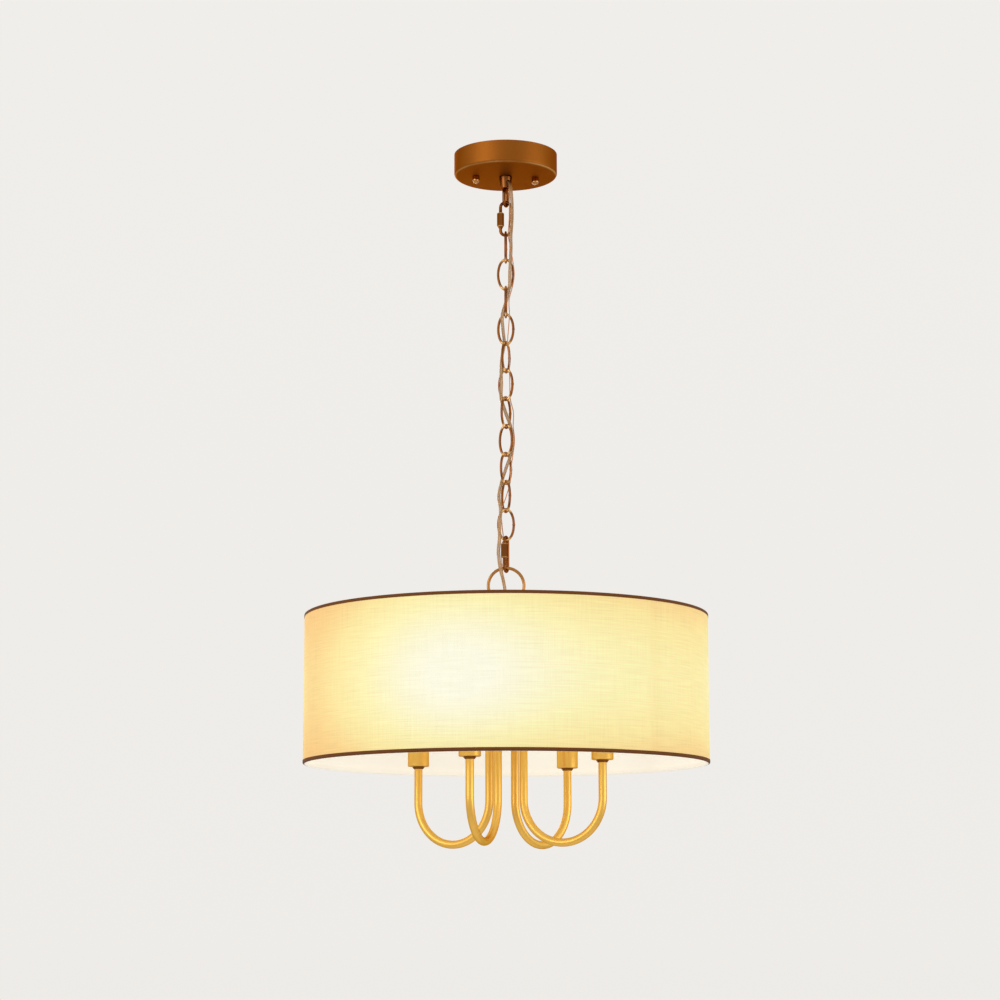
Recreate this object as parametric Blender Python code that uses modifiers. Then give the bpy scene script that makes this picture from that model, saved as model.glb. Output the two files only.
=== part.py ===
"""A drum chandelier: a ceiling canopy, a chain with its cord, a round fabric shade and four U-shaped arms.

Metres, +Z up. The origin is the middle of the canopy's rim, in the plane of the ceiling, and +X runs
through the first arm's hole in the hub. The chain hangs straight down the Z axis, and each link has a
turn of its own. Each arm is fixed at its inner end alone, and stands a little swivelled there.
"""

import math

import bpy
import bmesh
from mathutils import Matrix, Vector

# Fits
GAP = 0.0003  # clearance between pieces that seat on each other
OVERRUN = 0.002  # how far a cutter runs past what it cuts
WELD = 0.00001  # distance under which points are made one

# Facets round a turned or bevelled piece
LARGE_SIDES = 48
CANOPY_SIDES = 32
MIDDLE_SIDES = 20
SMALL_SIDES = 12
HOLE_SIDES = 8
WIRE_STEPS = 2  # a wire has four sides, and two more for each step
HOOP_STEPS = 0
LOOP_STEPS = 8
LINK_END_STEPS = 4
LINK_SIDE_STEPS = 4
SMOOTH_ANGLE = math.radians(35)

# Ceiling canopy
CANOPY_DIAMETER = 0.1314
CANOPY_HEIGHT = 0.0289
CANOPY_WALL = 0.0012
CANOPY_EDGE_RADIUS = 0.0045
CANOPY_EDGE_STEPS = 3

# Crossbar that screws to the ceiling box, and the two long screws that hold the canopy
CROSSBAR_LENGTH = 0.100
CROSSBAR_WIDTH = 0.020
CROSSBAR_THICKNESS = 0.0022
CROSSBAR_TURN = math.radians(32.3)
SLOT_WIDTH = 0.0045
SLOT_LENGTH = 0.010
SLOT_RADIUS = 0.0165
SCREW_RADIUS = 0.038
SCREW_DIAMETER = 0.004
SCREW_NUT_ACROSS = 0.007
SCREW_NUT_HEIGHT = 0.003
CAP_NUT_DIAMETER = 0.009
CAP_NUT_HEIGHT = 0.009
CAP_NUT_DEPTH = 0.005
GROUND_SCREW_RADIUS = 0.0275
GROUND_SCREW_DIAMETER = 0.0034
GROUND_HEAD_DIAMETER = 0.0064
GROUND_HEAD_HEIGHT = 0.0022

# Threaded tube that carries everything: the nipple in the canopy and the stem in the shade
TUBE_DIAMETER = 0.0098
TUBE_BORE = 0.0074
TUBE_NUT_ACROSS = 0.014
TUBE_NUT_HEIGHT = 0.0038
NIPPLE_REACH = 0.0021  # how far the nipple screws into the loop's collar

# Loop under the canopy
COLLAR_HEIGHT = 0.0152
COLLAR_TOP_DIAMETER = 0.0165
COLLAR_FOOT_DIAMETER = 0.0125
COLLAR_FLOOR = 0.0042
CORD_HOLE_DIAMETER = 0.0060
CORD_HOLE_DROP = 0.0101  # from the collar's top to the middle of the hole's mouth
CORD_HOLE_LEAN = math.radians(45)
CORD_HOLE_TURN = math.radians(-60)
EYE_LENGTH = 0.0263
EYE_WIDTH = 0.0170
EYE_WIRE = 0.0042
EYE_SINK = 0.0015  # how far the eye is set into the collar

# Quick links at both ends of the chain
QUICK_LENGTH = 0.0473
QUICK_WIDTH = 0.0170
QUICK_WIRE = 0.0040
QUICK_MOUTH = 0.0044  # the opening that the sleeve closes
QUICK_MOUTH_COVER = 0.0008  # how far the sleeve reaches past the opening
BOSS_DIAMETER = 0.0060
BOSS_HEIGHT = 0.0019
BOSS_STEP = 0.0002
SLEEVE_ACROSS = 0.0078
# Shares of the straight leg: the sleeve's length, and how far along its lower half the boss ends
SLEEVE_SHARE = 0.594
UPPER_BOSS_SHARE = 0.818
LOWER_BOSS_SHARE = 0.997

# Chain
LINK_COUNT = 11
LINK_LENGTH = 0.04245
LINK_WIDTH = 0.0225
LINK_WIRE = 0.0032
LINK_END_RADIUS = 0.0050

# Turns about Z of the eye, the upper quick link, each link, the lower quick link and the ring, in
# degrees from the face of the chain. CHAIN_TURN is that face's own turn from the first arm.
CHAIN_TURN = math.radians(27)
EYE_TURN = 70
UPPER_QUICK_TURN = 0
LINK_TURNS = (88, -3, 88, -10, 62, -31, 56, -38, 50, -60, 4)
LOWER_QUICK_TURN = 72
RING_TURN = 0

# Ring and collar on top of the shade's stem
RING_DIAMETER = 0.0484
RING_WIRE = 0.0040
RING_COLLAR_HEIGHT = 0.0155
RING_COLLAR_TOP_DIAMETER = 0.0120
RING_COLLAR_FOOT_DIAMETER = 0.0160
RING_COLLAR_COVER = 0.0021  # how far the collar stands over the ring's inner edge
RING_BORE = 0.0070
STEM_REACH = 0.010  # how far the stem screws into the ring's collar

# Shade and its two wire rings
SHADE_DIAMETER = 0.500
SHADE_HEIGHT = 0.1841
SHADE_WALL = 0.0010
SHADE_WIRE = 0.0030
SHADE_FLAP = 0.0052
SHADE_TOP_DROP = 0.0043  # from the foot of the ring's collar to the shade's top
SPOKE_COUNT = 4
SPOKE_TURN = math.radians(12)
SPOKE_WIRE = 0.0030
WASHER_DIAMETER = 0.0240
WASHER_THICKNESS = 0.0018

# Hub inside the shade
HUB_DROP = 0.0240  # from the spider's washer to the hub's cover
HUB_DIAMETER = 0.0630
HUB_HEIGHT = 0.0220
HUB_WALL = 0.0020
HUB_FLOOR = 0.0040
HUB_CHAMFER = 0.0020
COVER_THICKNESS = 0.0020
COVER_SKIRT = 0.0070
STEM_TAIL = 0.0010  # how far the stem stands below its nut

# Arms
ARM_SWIVELS = (0, -12, -6, 9)  # degrees that each arm is turned about its own inner end, in its hole
ARM_COUNT = len(ARM_SWIVELS)
ARM_DIAMETER = 0.0100
ARM_INNER_RADIUS = 0.0235
ARM_OUTER_RADIUS = 0.1300
ARM_BEND_DROP = 0.0448  # from the socket cups' feet down to the middle of the bend
ARM_BEND_STEPS = 14
ARM_HUB_REACH = 0.0040  # how far an arm stands above the hub's floor

# Socket cups, lampholders and bulbs
CUP_DIAMETER = 0.0266
CUP_HEIGHT = 0.0850
CUP_WALL = 0.0008
CUP_FLOOR = 0.0015
CUP_RISE = 0.0020  # the cups' feet above the shade's lower edge
CUP_WASHER_DIAMETER = 0.0150
CUP_WASHER_FOOT_DIAMETER = 0.0128
CUP_WASHER_HEIGHT = 0.0027
CUP_WASHER_STEP = 0.0013  # height of the washer's wider tier
HOLDER_DROP = 0.0072  # from a cup's rim down to the top of its lampholder
HOLDER_BODY_DIAMETER = 0.0200
HOLDER_RIM_CLEARANCE = 0.0004
HOLDER_RIM_HEIGHT = 0.0035
HOLDER_RIM_SLOPE = 0.0020
HOLDER_REACH = 0.0100  # how far an arm's end goes into its lampholder
HOLDER_WELL = 0.0240
BULB_CAP_DIAMETER = 0.0136
BULB_CAP_CLEARANCE = 0.0005
BULB_CONTACT_DIAMETER = 0.0050
BULB_CONTACT_HEIGHT = 0.0030
BULB_SHOULDER = 0.0010
BULB_DIAMETER = 0.0350
BULB_GLASS_HEIGHT = 0.0780
# (share of the glass's height, share of the bulb's radius), from the tip down
BULB_SHARES = (
    (1.0, 0.0),
    (0.96, 0.18),
    (0.80, 0.56),
    (0.58, 0.90),
    (0.38, 1.0),
    (0.17, 0.80),
    (0.0, 0.40),
)

# Cord and earth wire. Both run down the nipple, out of the collar, through the chain, into the ring's
# collar and down the stem. x is to the right along the chain's face and y goes away behind it.
CORD_DIAMETER = 0.0040
EARTH_DIAMETER = 0.0012
CORD_SPACING = 0.0122  # between the points that a cord's tube is swept through
CORD_ROUTE = (
    (0.0007, 0.0004, -0.0030),
    (0.0007, 0.0004, -0.0140),
    (0.0007, 0.0004, -0.0250),
    (0.0010, -0.0001, -0.0305),
    (0.0020, -0.0019, -0.0344),
    (0.0044, -0.0061, -0.0393),
    (0.0060, -0.0087, -0.0435),
    (0.0069, -0.0096, -0.0500),
    (0.0078, -0.0085, -0.0600),
    (0.0082, -0.0070, -0.0700),
    (0.0082, -0.0056, -0.0840),
    (0.0074, -0.0054, -0.0980),
    (0.0066, -0.0056, -0.1080),
    (0.0068, -0.0042, -0.1220),
    (0.0062, -0.0050, -0.1370),
    (0.0052, -0.0052, -0.1570),
    (0.0048, -0.0049, -0.1730),
    (0.0004, -0.0006, -0.1932),
    (-0.0044, -0.0036, -0.2110),
    (-0.0036, 0.0004, -0.2290),
    (-0.0020, 0.0049, -0.2460),
    (-0.0050, 0.0026, -0.2647),
    (-0.0060, -0.0010, -0.2826),
    (-0.0056, -0.0026, -0.3005),
    (-0.0058, -0.0016, -0.3184),
    (-0.0004, 0.0002, -0.3362),
    (0.0058, 0.0012, -0.3541),
    (0.0080, 0.0022, -0.3720),
    (0.0060, 0.0008, -0.3899),
    (0.0000, 0.0002, -0.4077),
    (-0.0056, 0.0003, -0.4256),
    (-0.0090, -0.0005, -0.4435),
    (-0.0068, -0.0044, -0.4614),
    (-0.0080, -0.0056, -0.4792),
    (-0.0082, -0.0052, -0.4971),
    (-0.0096, -0.0046, -0.5140),
    (-0.0080, -0.0052, -0.5300),
    (-0.0066, -0.0052, -0.5380),
    (-0.0040, -0.0040, -0.5480),
    (-0.0020, -0.0024, -0.5580),
    (-0.0006, -0.0014, -0.5680),
    (0.0000, -0.0009, -0.5760),
    (0.0000, -0.0009, -0.5900),
    (0.0000, -0.0009, -0.6060),
    (0.0000, -0.0009, -0.6270),
)
EARTH_ROUTE = (
    (-0.0019, -0.0011, -0.0030),
    (-0.0019, -0.0011, -0.0140),
    (-0.0019, -0.0011, -0.0250),
    (-0.0016, -0.0016, -0.0305),
    (-0.0006, -0.0034, -0.0344),
    (0.0018, -0.0076, -0.0393),
    (0.0034, -0.0096, -0.0435),
    (0.0044, -0.0102, -0.0500),
    (0.0049, -0.0092, -0.0600),
    (0.0046, -0.0074, -0.0720),
    (0.0044, -0.0060, -0.0860),
    (0.0036, -0.0064, -0.0990),
    (0.0032, -0.0072, -0.1080),
    (0.0056, -0.0084, -0.1217),
    (0.0086, -0.0074, -0.1390),
    (0.0108, -0.0046, -0.1575),
    (0.0094, -0.0048, -0.1700),
    (0.0076, -0.0066, -0.1780),
    (0.0042, -0.0084, -0.1932),
    (0.0046, -0.0054, -0.2110),
    (0.0034, -0.0046, -0.2290),
    (0.0022, -0.0044, -0.2470),
    (0.0040, -0.0016, -0.2647),
    (0.0046, 0.0012, -0.2826),
    (0.0050, 0.0024, -0.3005),
    (0.0056, 0.0013, -0.3184),
    (0.0095, 0.0010, -0.3362),
    (0.0092, -0.0004, -0.3541),
    (0.0108, -0.0016, -0.3720),
    (0.0088, -0.0012, -0.3899),
    (0.0064, -0.0022, -0.4077),
    (0.0052, -0.0004, -0.4256),
    (0.0002, 0.0000, -0.4435),
    (-0.0056, 0.0020, -0.4614),
    (-0.0050, 0.0030, -0.4792),
    (-0.0034, 0.0042, -0.4971),
    (-0.0056, 0.0030, -0.5160),
    (-0.0044, 0.0040, -0.5370),
    (-0.0040, 0.0026, -0.5480),
    (-0.0032, 0.0014, -0.5580),
    (-0.0016, 0.0018, -0.5680),
    (0.0000, 0.0022, -0.5760),
    (0.0000, 0.0022, -0.5900),
    (0.0000, 0.0022, -0.6060),
    (0.0000, 0.0022, -0.6270),
)

# Heights that follow from the sizes above
CANOPY_FOOT = -CANOPY_HEIGHT
COLLAR_TOP = CANOPY_FOOT - GAP
NIPPLE_FOOT = COLLAR_TOP - NIPPLE_REACH
COLLAR_FOOT = COLLAR_TOP - COLLAR_HEIGHT
EYE_MIDDLE = COLLAR_FOOT + EYE_SINK - EYE_LENGTH / 2
EYE_FOOT = EYE_MIDDLE - EYE_LENGTH / 2
UPPER_QUICK_TOP = EYE_FOOT + EYE_WIRE + GAP + QUICK_WIRE
UPPER_QUICK_FOOT = UPPER_QUICK_TOP - QUICK_LENGTH
LINK_PITCH = LINK_LENGTH - 2 * LINK_WIRE - GAP
FIRST_LINK_TOP = UPPER_QUICK_FOOT + QUICK_WIRE + GAP + LINK_WIRE
LAST_LINK_FOOT = FIRST_LINK_TOP - (LINK_COUNT - 1) * LINK_PITCH - LINK_LENGTH
LOWER_QUICK_TOP = LAST_LINK_FOOT + LINK_WIRE + GAP + QUICK_WIRE
LOWER_QUICK_FOOT = LOWER_QUICK_TOP - QUICK_LENGTH
RING_TOP = LOWER_QUICK_FOOT + QUICK_WIRE + GAP + RING_WIRE
RING_MIDDLE = RING_TOP - RING_DIAMETER / 2
RING_COLLAR_TOP = RING_TOP - RING_DIAMETER + RING_WIRE + RING_COLLAR_COVER
RING_COLLAR_FOOT = RING_COLLAR_TOP - RING_COLLAR_HEIGHT
STEM_TOP = RING_COLLAR_FOOT + STEM_REACH
WASHER_TOP = RING_COLLAR_FOOT - GAP
WASHER_FOOT = WASHER_TOP - WASHER_THICKNESS
SHADE_TOP = RING_COLLAR_FOOT - SHADE_TOP_DROP
SHADE_FOOT = SHADE_TOP - SHADE_HEIGHT
SPIDER_NUT_TOP = WASHER_FOOT - GAP
COVER_TOP = WASHER_FOOT - HUB_DROP
HUB_NUT_TOP = COVER_TOP - COVER_THICKNESS - GAP
STEM_FOOT = HUB_NUT_TOP - TUBE_NUT_HEIGHT - STEM_TAIL
HUB_TOP = COVER_TOP - COVER_THICKNESS - GAP
HUB_FOOT = HUB_TOP - HUB_HEIGHT
CUP_FOOT = SHADE_FOOT + CUP_RISE
BEND_MIDDLE = CUP_FOOT - ARM_BEND_DROP
HOLDER_FOOT = CUP_FOOT + CUP_FLOOR + GAP
HOLDER_TOP = CUP_FOOT + CUP_HEIGHT - HOLDER_DROP
HOLDER_HEIGHT = HOLDER_TOP - HOLDER_FOOT
ARM_OUTER_TOP = HOLDER_FOOT + HOLDER_REACH
ARM_INNER_TOP = HUB_FOOT + HUB_FLOOR + ARM_HUB_REACH

# Radii of holes that other pieces pass through
TUBE_HOLE = TUBE_DIAMETER / 2 + GAP
ARM_HOLE = ARM_DIAMETER / 2 + GAP
SCREW_HOLE = SCREW_DIAMETER / 2 + GAP

PARTS = bpy.data.collections.new("drum_chandelier")
CUTTERS = bpy.data.collections.new("cutters")


def clear_scene():
    for old in list(bpy.data.objects):
        bpy.data.objects.remove(old, do_unlink=True)
    for collection in (PARTS, CUTTERS):
        bpy.context.scene.collection.children.link(collection)


def material(name, colour, roughness, metallic=0.0, alpha=1.0, glow=0.0):
    made = bpy.data.materials.new(name)
    made.use_nodes = True
    shader = made.node_tree.nodes["Principled BSDF"]
    shader.inputs["Base Color"].default_value = (*colour, 1.0)
    shader.inputs["Roughness"].default_value = roughness
    shader.inputs["Metallic"].default_value = metallic
    shader.inputs["Alpha"].default_value = alpha
    shader.inputs["Emission Color"].default_value = (*colour, 1.0)
    shader.inputs["Emission Strength"].default_value = glow
    made.diffuse_color = (*colour, alpha)
    return made


def pivot(name, height, parent=None):
    """An empty on the chain's axis that the pieces of one moving body hang from."""
    made = bpy.data.objects.new(name, None)
    made.empty_display_size = LINK_WIDTH
    PARTS.objects.link(made)
    made["height"] = height
    made.parent = parent
    made.location.z = height - (parent["height"] if parent else 0)
    return made


def place(obj, finish, body, at=(0, 0, 0), turn=0.0, flipped=False):
    """Puts a piece at a place given in world coordinates, under its body's empty."""
    obj.data.materials.append(finish)
    obj.parent = body
    obj.location = Vector(at) - Vector((0, 0, body["height"]))
    obj.rotation_euler = (math.pi if flipped else 0, 0, turn)
    return obj


def helper(obj, at=(0, 0, 0), turn=0.0):
    """A cutter, or a shape that is joined to another: it isn't a piece of its own."""
    obj.location = at
    obj.rotation_euler = (0, 0, turn)
    obj.hide_render = True
    obj.display_type = "WIRE"
    return obj


def combine(obj, other, operation):
    step = obj.modifiers.new(f"{operation.lower()} {other.name}", "BOOLEAN")
    step.operation = operation
    step.object = other


def smoothed(mesh):
    mesh.shade_smooth()
    mesh.set_sharp_from_angle(angle=SMOOTH_ANGLE)
    return mesh


def arc(middle_x, middle_z, radius, start, end, steps):
    """Points along an arc in the XZ plane, both ends included; angles in degrees from +X."""
    turn = [math.radians(start + (end - start) * step / steps) for step in range(steps + 1)]
    return [(middle_x + radius * math.cos(a), middle_z + radius * math.sin(a)) for a in turn]


def turned(name, profile, sides, closed=True, where=PARTS):
    """A profile of (radius, height) points that runs down its outer side, turned about Z."""
    mesh = bpy.data.meshes.new(name)
    count = len(profile)
    edges = [(n, (n + 1) % count) for n in range(count if closed else count - 1)]
    mesh.from_pydata([(radius, 0, height) for radius, height in profile], edges, [])
    obj = bpy.data.objects.new(name, mesh)
    where.objects.link(obj)
    turn = obj.modifiers.new("turn", "SCREW")
    turn.steps = turn.render_steps = sides
    turn.use_merge_vertices = True
    turn.merge_threshold = WELD
    turn.use_smooth_shade = True
    return obj


def tube_profile(radius, bore, top, foot):
    return [(radius, top), (radius, foot), (bore, foot), (bore, top)]


def wire(name, points, diameter, closed=False, radii=None, steps=WIRE_STEPS, where=PARTS):
    """A round wire swept through the points."""
    curve = bpy.data.curves.new(name, "CURVE")
    curve.dimensions = "3D"
    curve.bevel_depth = diameter / 2
    curve.bevel_resolution = steps
    curve.use_fill_caps = not closed
    spline = curve.splines.new("POLY")
    spline.points.add(len(points) - 1)
    spline.use_cyclic_u = closed
    spline.use_smooth = True
    for number, (point, at) in enumerate(zip(spline.points, points)):
        point.co = (*at, 1)
        point.radius = radii[number] if radii else 1
    obj = bpy.data.objects.new(name, curve)
    where.objects.link(obj)
    return obj


def as_mesh(obj):
    """The curve object made a closed mesh object of the same name, for a Boolean."""
    bpy.context.view_layer.update()
    graph = bpy.context.evaluated_depsgraph_get()
    mesh = bpy.data.meshes.new_from_object(obj.evaluated_get(graph))
    work = bmesh.new()
    work.from_mesh(mesh)
    bmesh.ops.remove_doubles(work, verts=work.verts, dist=WELD)
    bmesh.ops.recalc_face_normals(work, faces=work.faces)
    work.to_mesh(mesh)
    work.free()
    name, where, matrix = obj.name, obj.users_collection[0], obj.matrix_world.copy()
    bpy.data.objects.remove(obj)
    made = bpy.data.objects.new(name, smoothed(mesh))
    made.matrix_world = matrix
    where.objects.link(made)
    return made


def plate(name, outlines, thickness):
    """A flat plate about z = 0: the first outline is its edge, and the others are holes."""
    curve = bpy.data.curves.new(name, "CURVE")
    curve.dimensions = "2D"
    curve.fill_mode = "BOTH"
    curve.extrude = thickness / 2
    for outline in outlines:
        spline = curve.splines.new("POLY")
        spline.points.add(len(outline) - 1)
        spline.use_cyclic_u = True
        for point, (x, y) in zip(spline.points, outline):
            point.co = (x, y, 0, 1)
    obj = bpy.data.objects.new(name, curve)
    PARTS.objects.link(obj)
    return obj


def circle(radius, sides, x=0.0, y=0.0):
    return arc(x, y, radius, 0, 360 - 360 / sides, sides - 1)


def slot(x, length, width, steps):
    """An outline along X with round ends."""
    reach = (length - width) / 2
    right = arc(x + reach, 0, width / 2, -90, 90, steps)
    return right + arc(x - reach, 0, width / 2, 90, 270, steps)


def hexagon(across):
    return circle(across / 2 / math.cos(math.radians(30)), 6)


def hex_nut(name, across, height, hole):
    return plate(name, [hexagon(across), circle(hole, SMALL_SIDES)], height)


def cylinder(name, radius, low, high, sides=SMALL_SIDES):
    """A cylinder about Z, as a cutter."""
    mesh = bpy.data.meshes.new(name)
    work = bmesh.new()
    bmesh.ops.create_cone(
        work, cap_ends=True, segments=sides, radius1=radius, radius2=radius, depth=high - low
    )
    bmesh.ops.translate(work, verts=work.verts, vec=(0, 0, (high + low) / 2))
    work.to_mesh(mesh)
    work.free()
    obj = bpy.data.objects.new(name, mesh)
    CUTTERS.objects.link(obj)
    return helper(obj)


def box(name, low, high):
    """A box between two corners, as a cutter."""
    mesh = bpy.data.meshes.new(name)
    work = bmesh.new()
    size = Vector(high) - Vector(low)
    bmesh.ops.create_cube(work, size=1)
    bmesh.ops.scale(work, verts=work.verts, vec=size)
    bmesh.ops.translate(work, verts=work.verts, vec=(Vector(high) + Vector(low)) / 2)
    work.to_mesh(mesh)
    work.free()
    obj = bpy.data.objects.new(name, mesh)
    CUTTERS.objects.link(obj)
    return helper(obj)


def upright(points):
    """(across, height) points stood up in the XZ plane."""
    return [(x, 0, z) for x, z in points]


def oval(length, width, wire_diameter, end_radius):
    """The middle line of a link: a small arc at each end and a long arc down each side, all tangent."""
    rise = (length - wire_diameter) / 2
    reach = (width - wire_diameter) / 2
    end_middle = rise - end_radius
    flat = reach - end_radius
    side_radius = (reach**2 + end_middle**2 - end_radius**2) / (2 * flat)
    side_middle = reach - side_radius
    lean = math.degrees(math.atan2(end_middle, -side_middle))
    top = arc(0, end_middle, end_radius, lean, 180 - lean, LINK_END_STEPS)
    left = arc(-side_middle, 0, side_radius, 180 - lean, 180 + lean, LINK_SIDE_STEPS)
    foot = arc(0, -end_middle, end_radius, 180 + lean, 360 - lean, LINK_END_STEPS)
    right = arc(side_middle, 0, side_radius, -lean, lean, LINK_SIDE_STEPS)
    return top + left[1:-1] + foot + right[1:-1]


def stadium(length, width, wire_diameter, steps):
    """The middle line of a loop with straight sides and round ends."""
    reach = (width - wire_diameter) / 2
    straight = (length - wire_diameter) / 2 - reach
    return arc(0, straight, reach, 0, 180, steps) + arc(0, -straight, reach, 180, 360, steps)


def chain_turn(degrees):
    return CHAIN_TURN + math.radians(degrees)


def smooth_route(route):
    """Points along a smooth curve through the route's own points, in the chain's frame."""
    knots = [Vector(point) for point in route]
    knots = [2 * knots[0] - knots[1]] + knots + [2 * knots[-1] - knots[-2]]
    points = []
    for before, start, end, after in zip(knots, knots[1:], knots[2:], knots[3:]):
        spans = [math.sqrt((b - a).length) for a, b in ((before, start), (start, end), (end, after))]
        pull_start = (start - before) / spans[0] - (end - before) / (spans[0] + spans[1])
        pull_start = (pull_start + (end - start) / spans[1]) * spans[1]
        pull_end = (end - start) / spans[1] - (after - start) / (spans[1] + spans[2])
        pull_end = (pull_end + (after - end) / spans[2]) * spans[1]
        count = max(1, round((end - start).length / CORD_SPACING))
        for step in range(count):
            t = step / count
            points.append(
                start * (2 * t**3 - 3 * t**2 + 1)
                + end * (3 * t**2 - 2 * t**3)
                + pull_start * (t**3 - 2 * t**2 + t)
                + pull_end * (t**3 - t**2)
            )
    return points + [knots[-2]]


def make_canopy(body, brass):
    """The shallow cup against the ceiling, with a rounded lower edge and holes for the nipple and screws."""
    rim, edge, wall = CANOPY_DIAMETER / 2, CANOPY_EDGE_RADIUS, CANOPY_WALL
    middle = rim - edge
    outer = arc(middle, CANOPY_FOOT + edge, edge, 0, -90, CANOPY_EDGE_STEPS)
    inner = arc(middle, CANOPY_FOOT + edge, edge - wall, -90, 0, CANOPY_EDGE_STEPS)
    hole = [(TUBE_HOLE, CANOPY_FOOT), (TUBE_HOLE, CANOPY_FOOT + wall)]
    canopy = turned("canopy", [(rim, 0)] + outer + hole + inner + [(rim - wall, 0)], CANOPY_SIDES)
    place(canopy, brass, body)
    for side in (1, -1):
        hole = cylinder(f"canopy_hole_{side}", SCREW_HOLE, CANOPY_FOOT - OVERRUN, CANOPY_FOOT + OVERRUN)
        hole.location = screw_place(side)
        combine(canopy, hole, "DIFFERENCE")


def screw_place(side, radius=SCREW_RADIUS, height=0.0):
    along = side * radius
    return Vector((along * math.cos(CROSSBAR_TURN), along * math.sin(CROSSBAR_TURN), height))


def make_crossbar(body, steel):
    """The strap that screws to the ceiling box through its slots."""
    outlines = [
        slot(0, CROSSBAR_LENGTH, CROSSBAR_WIDTH, LOOP_STEPS // 2),
        circle(TUBE_HOLE, SMALL_SIDES),
        slot(SLOT_RADIUS, SLOT_LENGTH, SLOT_WIDTH, LOOP_STEPS // 2),
        slot(-SLOT_RADIUS, SLOT_LENGTH, SLOT_WIDTH, LOOP_STEPS // 2),
        circle(SCREW_HOLE, HOLE_SIDES, SCREW_RADIUS),
        circle(SCREW_HOLE, HOLE_SIDES, -SCREW_RADIUS),
        circle(GROUND_SCREW_DIAMETER / 2 + GAP, HOLE_SIDES, GROUND_SCREW_RADIUS),
    ]
    crossbar = plate("crossbar", outlines, CROSSBAR_THICKNESS)
    place(crossbar, steel, body, (0, 0, -CROSSBAR_THICKNESS / 2), CROSSBAR_TURN)


def make_canopy_screws(body, brass, steel):
    """Two long screws through the crossbar, each with its lock nut and the cap nut under the canopy."""
    for number, side in enumerate((1, -1), 1):
        foot = CANOPY_FOOT - CAP_NUT_DEPTH
        radius = SCREW_DIAMETER / 2
        shank = [(0, 0), (radius, 0), (radius, foot + GAP), (0, foot + GAP)]
        screw = turned(f"canopy_screw_{number}", shank, HOLE_SIDES, closed=False)
        place(screw, steel, body, screw_place(side))
        nut = hex_nut(f"screw_nut_{number}", SCREW_NUT_ACROSS, SCREW_NUT_HEIGHT, SCREW_HOLE)
        drop = -CROSSBAR_THICKNESS - GAP - SCREW_NUT_HEIGHT / 2
        place(nut, steel, body, screw_place(side, height=drop), CROSSBAR_TURN)
        make_cap_nut(f"cap_nut_{number}", screw_place(side, height=CANOPY_FOOT - GAP), body, brass)


def make_cap_nut(name, at, body, brass):
    """A domed nut with a blind hole, hanging down from its seat at z = 0."""
    radius = CAP_NUT_DIAMETER / 2
    dome = arc(0, -CAP_NUT_HEIGHT + radius, radius, 0, -90, CANOPY_EDGE_STEPS)
    bore = [(0, -CAP_NUT_DEPTH), (SCREW_HOLE, -CAP_NUT_DEPTH), (SCREW_HOLE, 0)]
    profile = bore + [(radius, 0)] + dome[:-1] + [(0, -CAP_NUT_HEIGHT)]
    place(turned(name, profile, SMALL_SIDES, closed=False), brass, body, at)


def make_ground_screw(body, green):
    shank, head = GROUND_SCREW_DIAMETER / 2, GROUND_HEAD_DIAMETER / 2
    seat = -CROSSBAR_THICKNESS - GAP
    profile = [(0, -GAP), (shank, -GAP), (shank, seat), (head, seat)]
    profile += [(head, seat - GROUND_HEAD_HEIGHT), (0, seat - GROUND_HEAD_HEIGHT)]
    screw = turned("ground_screw", profile, HOLE_SIDES, closed=False)
    place(screw, green, body, screw_place(1, GROUND_SCREW_RADIUS))


def make_nipple(body, steel):
    """The threaded tube that the loop hangs from, and its lock nut under the crossbar."""
    profile = tube_profile(TUBE_DIAMETER / 2, TUBE_BORE / 2, -GAP, NIPPLE_FOOT)
    place(turned("canopy_nipple", profile, SMALL_SIDES), steel, body)
    nut = hex_nut("nipple_nut", TUBE_NUT_ACROSS, TUBE_NUT_HEIGHT, TUBE_HOLE)
    drop = -CROSSBAR_THICKNESS - GAP - TUBE_NUT_HEIGHT / 2
    place(nut, steel, body, (0, 0, drop), CROSSBAR_TURN)


def make_canopy_loop(body, brass):
    """The tapered collar with the cord's slanted hole, and the eye that the chain hangs in."""
    top, foot = COLLAR_TOP_DIAMETER / 2, COLLAR_FOOT_DIAMETER / 2
    floor = COLLAR_FOOT + COLLAR_FLOOR
    bore_foot = NIPPLE_FOOT - GAP
    profile = [
        (0, floor),
        (TUBE_BORE / 2, floor),
        (TUBE_BORE / 2, bore_foot),
        (TUBE_HOLE, bore_foot),
        (TUBE_HOLE, COLLAR_TOP),
        (top, COLLAR_TOP),
        (foot, COLLAR_FOOT),
        (0, COLLAR_FOOT),
    ]
    loop = turned("canopy_loop", profile, MIDDLE_SIDES, closed=False)
    place(loop, brass, body)
    outline = upright(stadium(EYE_LENGTH, EYE_WIDTH, EYE_WIRE, LOOP_STEPS))
    eye = as_mesh(wire("loop_eye", outline, EYE_WIRE, closed=True, where=CUTTERS))
    helper(eye, (0, 0, EYE_MIDDLE), chain_turn(EYE_TURN))
    combine(loop, eye, "UNION")
    mouth = COLLAR_TOP - CORD_HOLE_DROP
    hole = cylinder("cord_hole", CORD_HOLE_DIAMETER / 2, -TUBE_DIAMETER, COLLAR_TOP_DIAMETER)
    out = Matrix.Rotation(chain_turn(0) + CORD_HOLE_TURN, 4, "Z")
    lean = Matrix.Rotation(math.pi - CORD_HOLE_LEAN, 4, "Y")
    hole.matrix_world = Matrix.Translation((0, 0, mouth)) @ out @ Matrix.Translation((top, 0, 0)) @ lean
    combine(loop, hole, "DIFFERENCE")


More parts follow.
